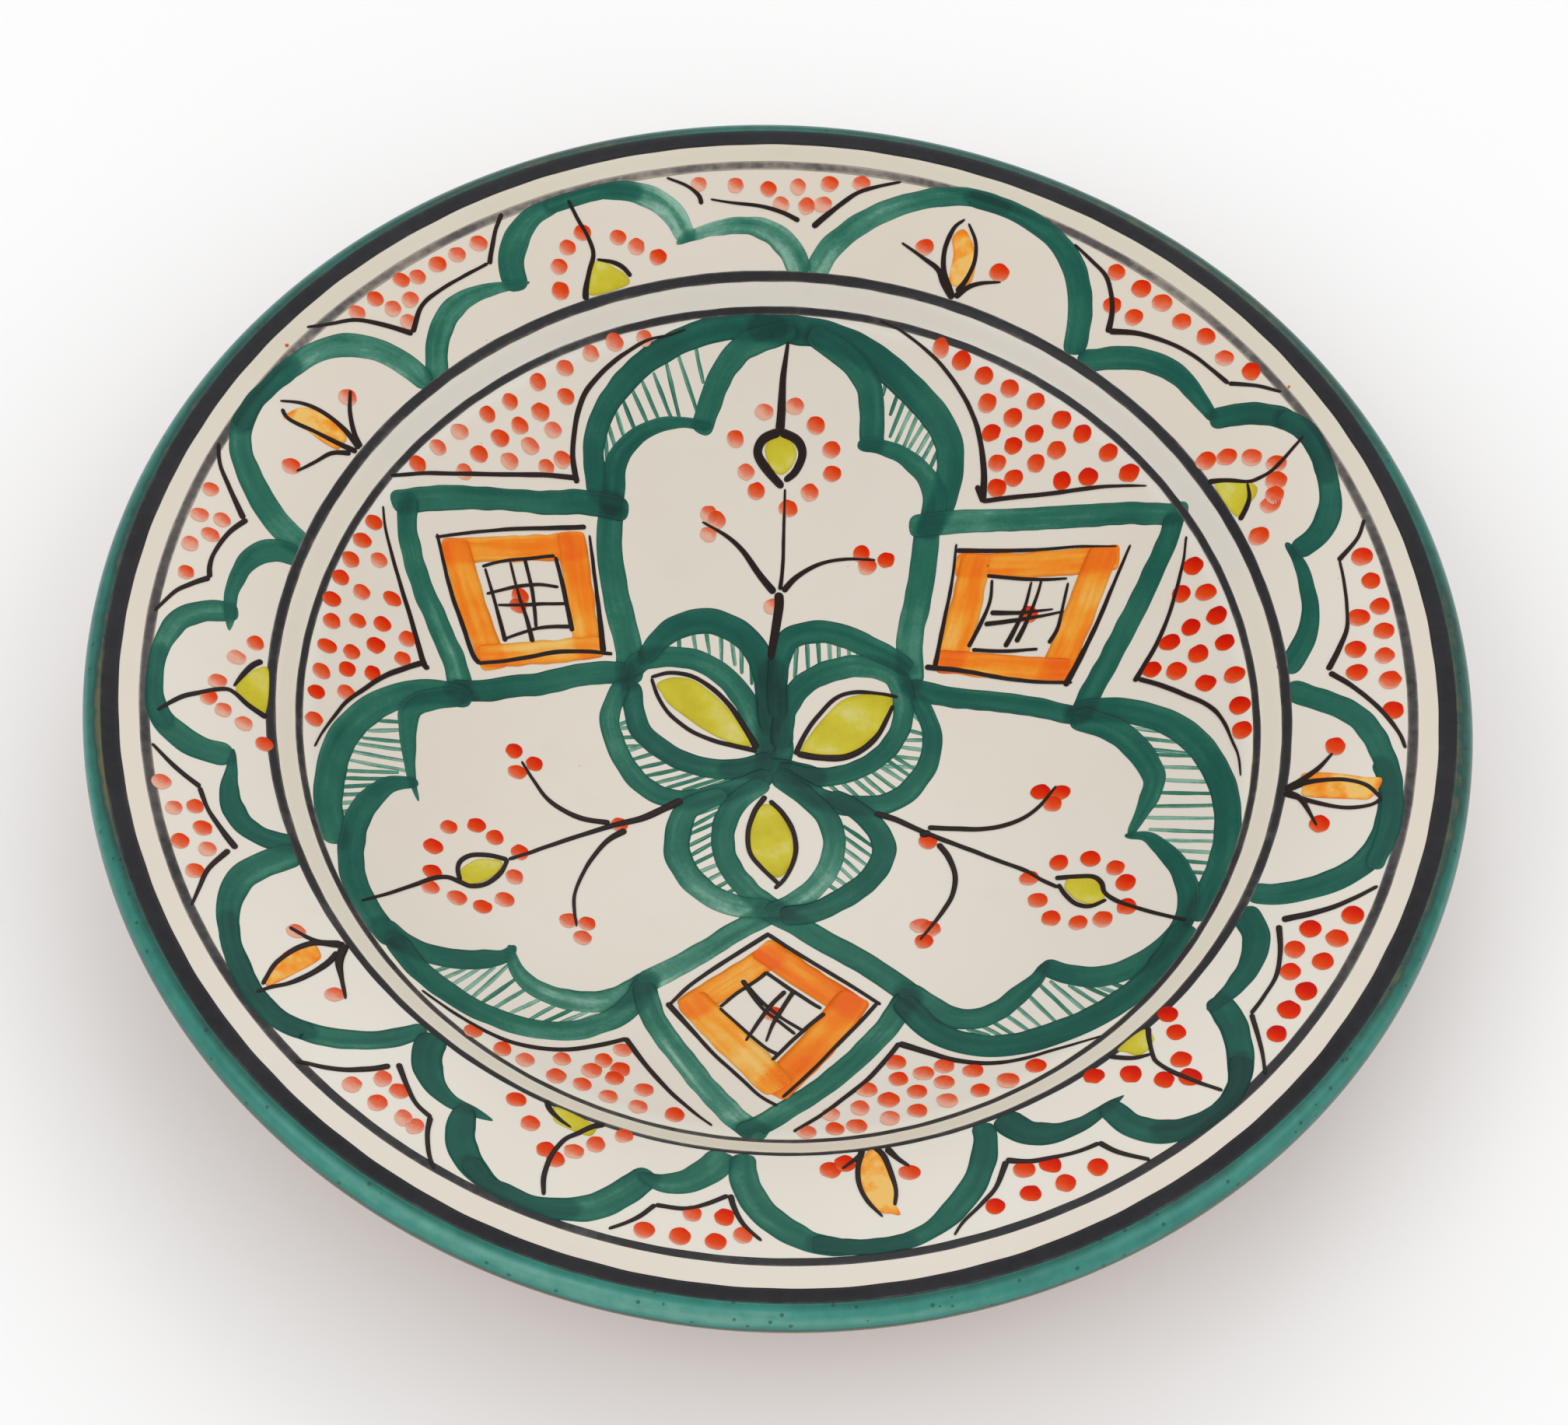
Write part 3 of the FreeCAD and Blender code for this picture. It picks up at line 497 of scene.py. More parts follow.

# ---- the dish's surface, as the CAD model has it, with its two corners rounded ----


def through(p, q, s):
    """Height by radius on the circle through three profile points, seen from its upper side."""
    a = np.array([[q[0] - p[0], q[1] - p[1]], [s[0] - q[0], s[1] - q[1]]]) * 2
    b = [q[0] ** 2 + q[1] ** 2 - p[0] ** 2 - p[1] ** 2, s[0] ** 2 + s[1] ** 2 - q[0] ** 2 - q[1] ** 2]
    centre = np.linalg.solve(a, b)
    radius = math.dist(centre, p)
    return lambda r: centre[1] + np.sqrt(radius**2 - (r - centre[0]) ** 2)


BOWL_R = (WELL_R**2 + WELL_DEEP**2) / (2 * WELL_DEEP)
TABLE_R = np.arange(0, 170.01, 0.05)
_bowl = FLOOR_Z + BOWL_R - np.sqrt(BOWL_R**2 - TABLE_R**2)
_wall = WELL_Z + (TABLE_R - WELL_R) * WALL_RISE / WALL_RUN
_rim = through((LEDGE_R, LEDGE_Z), RIM_MIDDLE, (BAND_R, BAND_Z))(TABLE_R)
_lip = BAND_Z + (TABLE_R - BAND_R) * BAND_RISE / BAND_RUN
_sharp = np.select([TABLE_R < WELL_R, TABLE_R < LEDGE_R, TABLE_R < BAND_R], [_bowl, _wall, _rim], _lip)
_window = np.full(2 * CORNER_STEPS + 1, 1 / (2 * CORNER_STEPS + 1))
_soft = np.convolve(np.pad(_sharp, CORNER_STEPS, mode="edge"), _window, "valid")
TABLE_Z = np.where(abs(TABLE_R - WALL_R) < CORNER_REACH, _soft, _sharp)
TABLE_SLOPE = np.gradient(TABLE_Z, TABLE_R)


def under_well(r):
    """Height of the well's underside."""
    return FLOOR_Z + BOWL_R - math.sqrt((BOWL_R + CLAY_THICK) ** 2 - r**2)


def placed(xy, lift):
    """Points in metres, this far (mm) above the glazed surface, square to it."""
    xy = np.asarray(xy, float)
    r = np.hypot(xy[:, 0], xy[:, 1])
    slope = np.interp(r, TABLE_R, TABLE_SLOPE)
    scale = lift / np.sqrt(1 + slope**2)
    out = xy / np.maximum(r, 1e-6)[:, None]
    flat = xy - out * (slope * scale)[:, None]
    return np.column_stack([flat, np.interp(r, TABLE_R, TABLE_Z) + scale]) * MM


def bearing(x, y):
    """Angle round the dish in degrees, from 0 to 360."""
    return np.degrees(np.arctan2(y, x)) % 360


def along(line):
    """How far along a line each of its points is."""
    return np.concatenate([[0], np.cumsum(np.hypot(*np.diff(line, axis=0).T))])


def resampled(at, s, line):
    """Points of a line at these distances along it."""
    return np.column_stack([np.interp(at, s, line[:, i]) for i in (0, 1)])


# ---- meshes ----


class Mesh:
    """Gathers closed shells, with a value and a vector per vertex, into one object."""

    def __init__(self):
        self.verts, self.faces, self.smooth, self.cover, self.flow = [], [], [], [], []
        self.count = 0

    def add(self, verts, faces, smooth, cover, flow):
        """Adds one closed shell of triangles and quads, turned right side out."""
        a, b, c, d = verts[np.array([(f[0], f[1], f[2], f[-1]) for f in faces])].transpose(1, 0, 2)
        if (a * (np.cross(b, c) + np.cross(c, d))).sum() < 0:
            faces = [f[::-1] for f in faces]
        self.verts.append(verts)
        self.faces += [tuple(v + self.count for v in f) for f in faces]
        self.smooth += smooth
        self.cover.append(np.broadcast_to(cover, len(verts)))
        self.flow.append(np.broadcast_to(flow, (len(verts), 3)))
        self.count += len(verts)

    def finish(self, name, material, node):
        mesh = bpy.data.meshes.new(name)
        mesh.from_pydata(np.vstack(self.verts).tolist(), [], self.faces)
        mesh.polygons.foreach_set("use_smooth", self.smooth)
        cover = mesh.attributes.new("cover", "FLOAT", "POINT")
        cover.data.foreach_set("value", np.concatenate(self.cover).astype(np.float32))
        flow = mesh.attributes.new("flow", "FLOAT_VECTOR", "POINT")
        flow.data.foreach_set("vector", np.vstack(self.flow).astype(np.float32).ravel())
        mesh.materials.append(material)
        piece = bpy.data.objects.new(name, mesh)
        bpy.context.scene.collection.objects.link(piece)
        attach(piece, "root")
        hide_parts(node)


def turned(name, loop, segments, material, node, shape=None, tint=None, soft=None):
    """A closed turned shell. loop is (radius, height) pairs in mm; radius 0 makes a pole.
    shape(index, points, angles) may move a ring; soft marks the loop's smooth edges."""
    loop = np.array(loop, float)
    angles = np.arange(segments) * 2 * math.pi / segments
    ring = [r > 1e-6 for r, z in loop]
    verts, first, count = [], [], 0
    for i, (r, z) in enumerate(loop):
        rz = np.broadcast_to(loop[i], (segments if ring[i] else 1, 2)).copy()
        if shape and ring[i]:
            rz = shape(i, rz, angles)
        turn = angles if ring[i] else angles[:1]
        verts.append(np.column_stack([rz[:, 0] * np.cos(turn), rz[:, 0] * np.sin(turn), rz[:, 1]]))
        first.append(count)
        count += len(rz)
    faces, smooth = [], []
    for i in range(len(loop) if all(ring) else len(loop) - 1):
        j = (i + 1) % len(loop)
        for k in range(segments):
            n = (k + 1) % segments
            if ring[i] and ring[j]:
                faces.append((first[i] + k, first[j] + k, first[j] + n, first[i] + n))
            elif ring[j]:
                faces.append((first[i], first[j] + k, first[j] + n))
            else:
                faces.append((first[i] + k, first[j], first[i] + n))
        smooth += [soft is None or soft[i]] * segments
    verts = np.vstack(verts)
    mesh = Mesh()
    mesh.add(verts * MM, faces, smooth, tint(verts) if tint else 0.0, (0.0, 0.0, 0.0))
    mesh.finish(name, material, node)


# ---- strokes ----

CURVE_STEPS = 16  # close points between two points of a table
TIP_STEPS = (0, 0.03, 0.12, 0.3, 0.6)  # sections at a stroke's end, as shares of its round tip
TIP_LEAST, HALF_LEAST = 0.03, 0.02  # how narrow a tip may get, as a share, and a half width in mm
BUMPS, BUMP_WAVES = 5, (0.12, 1.1)  # waves in a stroke's edge, and their range in radians per mm
LOAD, LOAD_WAVES = 0.22, (0.05, 0.1)  # how the paint's load rises and falls along a stroke
OVERLAP_FADE = 1.5  # mm over which an overlap's edge fades
PATCH_RINGS = (1, 1, 0.94, 0.82, 0.64, 0.42, 0.2)  # a patch's edge, buried and raised, and inwards
PATCH_STEP, PATCH_LEAST = 0.7, 20  # mm between an edge's points, and the fewest points
PATCH_FLOW = (10, 0.25)  # evens out the streaks' two scales, so a patch is blotchy, not streaked
TURN = 6.3  # just over a whole turn, for random phases


def pairs(row):
    """A table's row as points."""
    return np.array(row).reshape(-1, 2) / TENTHS


def strokes(table):
    """A table of strokes, out of tenths."""
    return {key: [([w / TENTHS for w in widths], pairs(row)) for widths, row in group]
            for key, group in table.items()}


def flowing(points, closed=False):
    """A smooth line through points, as many close points."""
    p = np.array(points, float)
    p = np.vstack([p[-1:], p, p[:2]]) if closed else np.vstack([2 * p[0] - p[1], p, 2 * p[-1] - p[-2]])
    t = np.linspace(0, 1, CURVE_STEPS, endpoint=False)[:, None]
    parts = [
        0.5 * (2 * b + (c - a) * t + (2 * a - 5 * b + 4 * c - d) * t**2 + (3 * b - a - 3 * c + d) * t**3)
        for a, b, c, d in zip(p, p[1:], p[2:], p[3:])
    ]
    return np.vstack(parts + [p[1:2] if closed else p[-2:-1]])


def flat_points(points):
    """Rim points, given as angle and radius, as x and y."""
    a, r = np.array(points, float).T
    a = np.radians(a)
    return np.column_stack([r * np.cos(a), r * np.sin(a)])


class Stroke:
    """One brush or pen stroke: its line, its half widths, and its own seeded unevenness.
    Its ends run on by reach times their width. They are round where square is 2, blunter above."""

    def __init__(self, widths, points, seed, step, wobble, reach=0.0, square=2.0, tones=0.0):
        rng = np.random.default_rng(seed)
        points = np.array(points, float)
        for end, near, width in ((0, 1, widths[0]), (-1, -2, widths[-1])):
            out, r = points[end] - points[near], np.hypot(*points[end])
            points[end] += out / np.hypot(*out) * reach * width
            limit = max(r, WELL_REACH) if r < WALL_SPLIT else -min(r, RIM_REACH)
            now = np.hypot(*points[end])
            if now > limit > 0 or now < -limit:
                points[end] *= abs(limit) / now
        line = flowing(points)
        s = along(line)
        self.length = s[-1]
        tip = min(0.5 * max(widths[0], widths[-1], 0.6), self.length * 0.4)
        inner = np.linspace(0, self.length, max(4, int(self.length / step)))
        ends = tip * np.array(TIP_STEPS)
        self.s = np.unique(np.concatenate([inner, ends, self.length - ends]).round(4))
        self.line = resampled(self.s, s, line)
        ahead = np.gradient(self.line, axis=0)
        ahead /= np.maximum(np.hypot(*ahead.T), 1e-9)[:, None]
        self.side = np.column_stack([-ahead[:, 1], ahead[:, 0]])
        half = 0.5 * np.interp(self.s / self.length, np.linspace(0, 1, len(widths)), widths)
        cap = np.ones(len(self.s))
        for near in (self.s, self.length - self.s):
            arch = (1 - (1 - np.clip(near / tip, 0, 1)) ** square) ** (1 / square)
            cap *= arch * (1 - TIP_LEAST) + TIP_LEAST
        self.half = half * cap
        self.uneven = [sum(rng.uniform(0.3, 1) * np.sin(self.s * k + rng.uniform(0, TURN))
                           for k in rng.uniform(*BUMP_WAVES, BUMPS)) * wobble * cap for _ in (0, 1)]
        self.load = LOAD * np.sin(self.s * rng.uniform(*LOAD_WAVES) + rng.uniform(0, TURN))
        self.load += rng.uniform(-tones, tones)
        self.seed = rng.uniform(0, 100)

    def lay(self, mesh, lift, across, cover):
        """Adds the stroke as a closed ribbon. cover(xy) gives a value for each point."""
        u = np.linspace(-1, 1, across)
        left, right = (np.maximum(self.half + e, HALF_LEAST) for e in self.uneven)
        reach = np.where(u[None] > 0, u[None] * left[:, None], u[None] * right[:, None])
        top = self.line[:, None] + self.side[:, None] * reach[..., None]
        n, ring = len(self.s), across + 2
        xy = np.concatenate([top, top[:, -1:], top[:, :1]], axis=1).reshape(-1, 2)
        height = np.tile([lift] * across + [BURIED] * 2, n)
        value = cover(xy) + np.repeat(self.load, ring)
        flow = np.column_stack([np.repeat(self.s, ring), np.tile([*u, 1, -1], n),
                                np.full(n * ring, self.seed)])
        faces, smooth = [], []
        for i in range(n - 1):
            for j in range(ring):
                k = (j + 1) % ring
                faces.append((i * ring + j, (i + 1) * ring + j, (i + 1) * ring + k, i * ring + k))
                smooth.append(j < across - 1)
        last = (n - 1) * ring
        for k in range(ring - 2):
            faces += [(ring - 1, k, k + 1), (last + ring - 1, last + k + 1, last + k)]
        mesh.add(placed(xy, height), faces, smooth + [False] * 2 * (ring - 2), value, flow)


def overlap(xy, own, others):
    """How many other strokes lie at each point, with soft edges."""
    total = np.zeros(len(xy))
    low, high = xy.min(0), xy.max(0)
    for other in others:
        reach = other.half.max() + 0.5
        a, b = other.line.min(0) - reach, other.line.max(0) + reach
        if other is own or (a > high).any() or (b < low).any():
            continue
        near = np.flatnonzero(((xy > a) & (xy < b)).all(1))
        if len(near):
            d = np.hypot(*(xy[near, None] - other.line[None]).transpose(2, 0, 1)) - other.half[None]
            total[near] += np.clip(0.5 - d.min(1) / OVERLAP_FADE, 0, 1)
    return total


def patch(mesh, outline, lift, cover, seed):
    """Adds a thin closed patch inside an outline. cover(xy, t) is given points from the patch's
    middle, and how far out they are from 0 to 1."""
    fine = flowing(outline, closed=True)
    s = along(fine)
    count = max(PATCH_LEAST, int(s[-1] / PATCH_STEP))
    edge = resampled(np.linspace(0, s[-1], count, endpoint=False), s, fine)
    middle = edge.mean(0)
    rings = [middle + (edge - middle) * t for t in PATCH_RINGS] + [middle[None], middle[None]]
    xy = np.vstack(rings)
    height = np.full(len(xy), lift)
    height[:count] = BURIED
    height[-1] = BURIED
    tip, base = len(xy) - 2, len(xy) - 1
    faces, smooth = [], []
    for i in range(len(PATCH_RINGS) - 1):
        for k in range(count):
            n = (k + 1) % count
            faces.append((i * count + k, i * count + n, (i + 1) * count + n, (i + 1) * count + k))
            smooth.append(i > 0)
    last = (len(PATCH_RINGS) - 1) * count
    faces += [(last + k, last + (k + 1) % count, tip) for k in range(count)]
    faces += [((k + 1) % count, k, base) for k in range(count)]
    smooth += [True] * count + [False] * count
    flow = np.column_stack([(xy - middle) * PATCH_FLOW, np.full(len(xy), seed)])
    t = np.concatenate([np.repeat(PATCH_RINGS, count), [0, 1]])
    mesh.add(placed(xy, height), faces, smooth, cover(xy - middle, t), flow)


# ---- materials: noise scales are per metre ----


class Paint:
    """One material's node tree, with short calls for the nodes that it uses."""

    def __init__(self, name, roughness, specular=0.5):
        self.material = bpy.data.materials.new(name)
        self.material.use_nodes = True
        self.tree = self.material.node_tree
        self.surface = self.tree.nodes["Principled BSDF"]
        self.surface.inputs["Roughness"].default_value = roughness
        self.surface.inputs["Specular IOR Level"].default_value = specular

    def add(self, kind, result, inputs=(), **settings):
        node = self.tree.nodes.new(kind)
        for key, value in settings.items():
            setattr(node, key, value)
        for key, value in dict(inputs).items():
            if isinstance(value, bpy.types.NodeSocket):
                self.tree.links.new(value, node.inputs[key])
            else:
                node.inputs[key].default_value = value
        return node.outputs[result]

    def cover(self):
        return self.add("ShaderNodeAttribute", "Fac", attribute_name="cover")

    def mapped(self, where, scale):
        return self.add("ShaderNodeMapping", "Vector", {"Vector": where, "Scale": scale})

    def place(self, scale=(1, 1, 1)):
        return self.mapped(self.add("ShaderNodeTexCoord", "Object"), scale)

    def flow(self, scale):
        return self.mapped(self.add("ShaderNodeAttribute", "Vector", attribute_name="flow"), scale)

    def noise(self, vector, scale, detail=3.0):
        return self.add("ShaderNodeTexNoise", "Fac", {"Vector": vector, "Scale": scale, "Detail": detail})

    def math(self, operation, a, b, c=0.0):
        return self.add("ShaderNodeMath", 0, {0: a, 1: b, 2: c}, operation=operation)

    def plus(self, value, amount, to):
        """to, plus amount times how far value is from its middle."""
        return self.math("ADD", self.math("MULTIPLY_ADD", value, amount, -0.5 * amount), to)

    def mottled(self, value, *layers):
        """value, varied by layers of noise, each a scale, a detail and an amount."""
        for scale, detail, amount in layers:
            value = self.plus(self.noise(self.place(), scale, detail), amount, value)
        return value

    def ramp(self, value, *stops):
        colour = self.add("ShaderNodeValToRGB", "Color", {"Fac": value})
        stop = colour.node.color_ramp.elements
        while len(stop) < len(stops):
            stop.new(0.5)
        for element, (where, rgb) in zip(stop, stops):
            element.position = where
            element.color = (*rgb, 1)
        return colour

    def mix(self, factor, a, b, how="MIX"):
        b = (*b, 1) if isinstance(b, tuple) else b
        inputs = {"Factor": factor, 6: a, 7: b}
        return self.add("ShaderNodeMix", 2, inputs, data_type="RGBA", blend_type=how)

    def cells(self, result, scale):
        return self.add("ShaderNodeTexVoronoi", result, {"Vector": self.place(), "Scale": scale})

    def specks(self, colour, dark, scale, size, strength, rare=None):
        """colour, with round dark specks in the cells of this scale, or only in its rarer ones."""
        mask = self.math("LESS_THAN", self.cells("Distance", scale), size)
        if rare:
            mask = self.math("MULTIPLY", mask, self.math("GREATER_THAN", self.cells("Color", scale), rare))
        return self.mix(self.math("MULTIPLY", mask, strength), colour, dark)

    def done(self, colour, bump=None, depth=0.00003, roughness=None):
        """The finished material. bump is a noise's scale and detail; depth is in metres."""
        self.tree.links.new(colour, self.surface.inputs["Base Color"])
        if roughness:
            self.tree.links.new(roughness, self.surface.inputs["Roughness"])
        if bump:
            normal = self.add("ShaderNodeBump", "Normal", {"Height": self.noise(self.place(), *bump),
                                                           "Strength": 0.6, "Distance": depth})
            self.tree.links.new(normal, self.surface.inputs["Normal"])
        return self.material


def strokes_paint(name, stops, streak=0.5, specular=0.15):
    """Watery paint: streaks along the stroke, darker where strokes overlap."""
    p = Paint(name, 0.3, specular)
    value = p.math("MULTIPLY_ADD", p.cover(), 0.25, 0.35)
    value = p.plus(p.noise(p.flow((0.02, 0.85, 7.3)), 1.5, 4), streak * 1.15, value)
    value = p.mottled(value, (75, 3, streak * 0.8), (900, 2, 0.12))
    return p.done(p.ramp(value, *stops), (700, 2))


def white_glaze():
    """Warm white, faintly smudged, with a few brown specks."""
    p = Paint("white_glaze", 0.24, 0.4)
    tone = p.mottled(p.cover(), (14, 3, 0.5))
    colour = p.ramp(tone, (0.0, (0.60, 0.55, 0.44)), (0.35, (0.65, 0.59, 0.50)),
                    (0.65, (0.675, 0.625, 0.55)), (0.9, (0.70, 0.665, 0.60)), (1.0, (0.735, 0.685, 0.578)))
    smudge = p.ramp(p.noise(p.place(), 70, 5), (0.0, (0.93, 0.93, 0.94)), (0.38, (0.99, 0.99, 0.99)),
                    (1.0, (1.0, 1.0, 1.0)))
    colour = p.specks(p.mix(1.0, colour, smudge, "MULTIPLY"), (0.25, 0.15, 0.08), 120.0, 0.035, 0.5, 0.8)
    return p.done(colour, (230, 2), 0.00006, p.math("MULTIPLY_ADD", p.noise(p.place(), 60), 0.1, 0.2))


def lip_green():
    """Blue green glaze that runs thin and brown towards its lower edge, with dark specks; its tint also
    holds painted light and shade.
    """
    p = Paint("lip_green", 0.26, 0.3)
    value = p.plus(p.noise(p.place((0.35, 0.35, 6)), 42, 5), 0.75, p.cover())
    value = p.mottled(value, (260, 3, 0.3))
    colour = p.ramp(value, (0.0, (0.14, 0.07, 0.035)), (0.13, (0.09, 0.10, 0.05)),
                    (0.27, (0.018, 0.06, 0.05)), (0.5, (0.015, 0.135, 0.105)),
                    (0.8, (0.04, 0.235, 0.185)), (1.0, (0.12, 0.32, 0.26)))
    return p.done(p.specks(colour, (0.012, 0.03, 0.026), 420.0, 0.22, 0.6, 0.62), (330, 3), 0.00012)


def terracotta():
    """Bare fired clay, banded like its throwing rings, with small pits."""
    p = Paint("terracotta", 0.82, 0.25)
    value = p.mottled(p.math("MULTIPLY_ADD", p.cover(), 0.14, 0.5), (22, 4, 0.7), (300, 4, 0.35))
    colour = p.ramp(value, (0.1, (0.22, 0.10, 0.05)), (0.45, (0.36, 0.19, 0.11)), (0.8, (0.47, 0.28, 0.18)))
    return p.done(p.specks(colour, (0.12, 0.07, 0.045), 330.0, 0.16, 0.5), (850, 4), 0.0002)


def band_black():
    """Thick black paint, thinning to warm grey where its cover is low."""
    p = Paint("black_bands", 0.3, 0.15)
    value = p.mottled(p.cover(), (45, 3, 0.5), (420, 3, 0.3))
    colour = p.ramp(value, (0.0, (0.34, 0.30, 0.25)), (0.22, (0.10, 0.09, 0.085)),
                    (0.45, (0.026, 0.026, 0.028)), (1.0, (0.006, 0.006, 0.009)))
    return p.done(colour, (700, 2))


GLAZE, LIP, CLAY, BLACK = white_glaze(), lip_green(), terracotta(), band_black()
GREEN = strokes_paint("green_brush", [(0.0, (0.24, 0.42, 0.33)), (0.16, (0.055, 0.20, 0.14)),
                                      (0.3, (0.018, 0.125, 0.082)), (0.5, (0.006, 0.084, 0.06)),
                                      (0.75, (0.004, 0.052, 0.04)), (1.0, (0.003, 0.03, 0.024))])
PEN = strokes_paint("black_pen", [(0.0, (0.09, 0.05, 0.03)), (0.25, (0.016, 0.008, 0.006)),
                                  (1.0, (0.003, 0.002, 0.002))], 0.25)
ORANGE = strokes_paint("orange_wash", [(0.0, (0.76, 0.46, 0.12)), (0.2, (0.77, 0.31, 0.028)),
                                       (0.42, (0.77, 0.195, 0.006)), (0.8, (0.73, 0.11, 0.002))], 0.95)
LIME = strokes_paint("lime_wash", [(0.0, (0.62, 0.58, 0.24)), (0.3, (0.54, 0.47, 0.03)),
                                   (0.75, (0.42, 0.335, 0.001))], 0.38)
RED = strokes_paint("red_dabs", [(0.0, (0.68, 0.36, 0.26)), (0.22, (0.66, 0.14, 0.07)),
                                 (0.45, (0.64, 0.055, 0.006)), (0.7, (0.62, 0.018, 0.0)),
                                 (1.0, (0.50, 0.005, 0.0))], 0.25, 0.05)

# ---- the coats and the body ----

FACE_SEGMENTS, CLAY_SEGMENTS = 480, 300
LIP_STEPS = 26
LIP_STOP, LIP_RUNS = -90, 14  # where round the lip its glaze stops, and how unevenly, in degrees
LIP_SEED, RINGS_SEED = 5, 11
FOOT_ROUND = 1.5


def uneven(angles, seed, waves):
    """A slow hand made variation round the dish, from -1 to 1."""
    rng = np.random.default_rng(seed)
    return sum(np.sin(angles * k + rng.uniform(0, TURN)) * rng.uniform(0.4, 1) for k in waves) / len(waves)


def glaze_tone_and_shade(verts):
    """The white's tone: lightest on the wall's near side, partly creamy pooled glaze and partly painted
    light against the wall's shade; painted shade on the far wall and the far side, painted light on the
    near side; darkest outside the rim line.
    """
    r = np.hypot(verts[:, 0], verts[:, 1])
    # the wall lighter: creamy pooled glaze, and painted light against its shade
    tone = np.interp(r, [0, 118, 122, 128, 131, 157, 162, EDGE_R],
                     [0.6, 0.55, 1.12, 1.12, 0.57, 0.57, 0.3, 0.3])
    # painted shade: the far side of the wall is darker
    tone -= 0.25 * np.maximum(verts[:, 1], 0) / 120 * (abs(r - 125) < 4)
    # painted light and shade: lighter towards the near side, darker towards the far side, more so on the
    # rim
    return tone - np.where(r > 130, 0.2, 0.08) * verts[:, 1] / 170 - 0.04


face_r = np.unique(np.concatenate([np.arange(a, b, step) for a, b, step in
                                   ((0, 115, 1.4), (115, 134, 0.4), (134, EDGE_R, 1.2))] + [[EDGE_R]]))
top = list(zip(face_r, np.interp(face_r, TABLE_R, TABLE_Z)))
low_r = np.unique(np.concatenate([np.arange(0, EDGE_R, 5), [WELL_R, WALL_R, LEDGE_R, EDGE_R]]))[::-1]
low = list(zip(low_r, np.interp(low_r, TABLE_R, TABLE_Z) - GLAZE_THICK))
turned("glaze_face", top + low, FACE_SEGMENTS, GLAZE, "face_glaze", tint=glaze_tone_and_shade,
       soft=[i != len(top) - 1 for i in range(len(top) + len(low))])


def lip_shape(i, rz, angles):
    """The lip glaze stops unevenly on the underside, as it ran when it was wet."""
    runs = np.radians(LIP_RUNS) * (1 + uneven(angles, LIP_SEED, (3, 7, 13, 21, 34)))
    stop = math.radians(LIP_STOP) + runs
    outer = i <= LIP_STEPS
    share = (i if outer else 2 * LIP_STEPS + 1 - i) / LIP_STEPS
    turn = math.pi / 2 + (stop - math.pi / 2) * share
    radius = LIP_ROUND if outer else CLAY_ROUND
    return np.column_stack([EDGE_R + radius * np.cos(turn), EDGE_Z + radius * np.sin(turn)])


def side_tone(verts, *tones):
    """A tone that changes round the dish. The tones are evenly spaced, from the right round by the
    far side to the right again."""
    return np.interp(bearing(verts[:, 0], verts[:, 1]), np.linspace(0, 360, len(tones)), tones)


def lip_tone_and_light(verts):
    """The lip's tone: palest at its near side, which is painted light; a painted highlight high on its
    outer round; darker beside the band; darker at its lower edge, partly the glaze running thin and brown
    and partly painted shade where it turns under.
    """
    # painted light: paler towards the near side
    around = side_tone(verts, 0.3, 0.26, 0.31, 0.4, 0.5, 0.62, 0.76, 0.6, 0.3)
    # by height: painted shade and thin brown glaze low down, a painted highlight at about 61 mm
    down = np.interp(verts[:, 2], [53, 56, 57.3, 58.5, 59.3, 61, 62.5, 63],
                     [-0.85, -0.8, -0.68, -0.45, -0.05, 0.12, 0.04, -0.28])
    return np.maximum(around + down, np.where(verts[:, 2] > 59.3, 0.27, -1))


turned("glaze_lip", [(171, 60)] * (2 * LIP_STEPS + 2), FACE_SEGMENTS, LIP, "lip_glaze",
       shape=lip_shape, tint=lip_tone_and_light)

PHASE = np.random.default_rng(RINGS_SEED).uniform(0, TURN, 4)
under_rim = through((129, 42.2), (150, 49.6), (170, 53.5))


def ringed(r, z):
    """Throwing rings: shallow grooves into the body, never out of it."""
    groove = 0.3 * (np.sin(r * 0.95 + PHASE[0]) * np.sin(r * 0.23 + PHASE[1]) + 1)
    return (r, z + groove + 0.05 * math.sin(r * 3.1 + PHASE[2]) + 0.05)


def ring_tone(verts):
    """The clay's tone, which follows the throwing rings."""
    r = np.hypot(verts[:, 0], verts[:, 1])
    return 0.5 * np.sin(r * 0.95 + PHASE[0]) + 0.5 * np.sin(r * 0.21 + PHASE[3])


edge = [(EDGE_R + CLAY_ROUND * math.cos(t), EDGE_Z + CLAY_ROUND * math.sin(t))
        for t in np.radians(np.linspace(88, -90, 20))]
under = [(r, float(under_rim(r))) for r in np.arange(169, 129, -0.8)]
under += [(129, 42.0), (126, 39.55), (123, 36.8)]  # the corner under the wall
under += [(r, under_well(r)) for r in np.unique(np.concatenate([np.arange(0.8, 120, 0.8), [120]]))[::-1]]
middle_top, middle_low = (0, FLOOR_Z - GLAZE_THICK), (0, FLOOR_Z - CLAY_THICK)
profile = [middle_top] + low[-2::-1] + edge + [ringed(r, z) for r, z in under] + [middle_low]
turned("body", profile, CLAY_SEGMENTS, CLAY, "clay_body", tint=ring_tone)


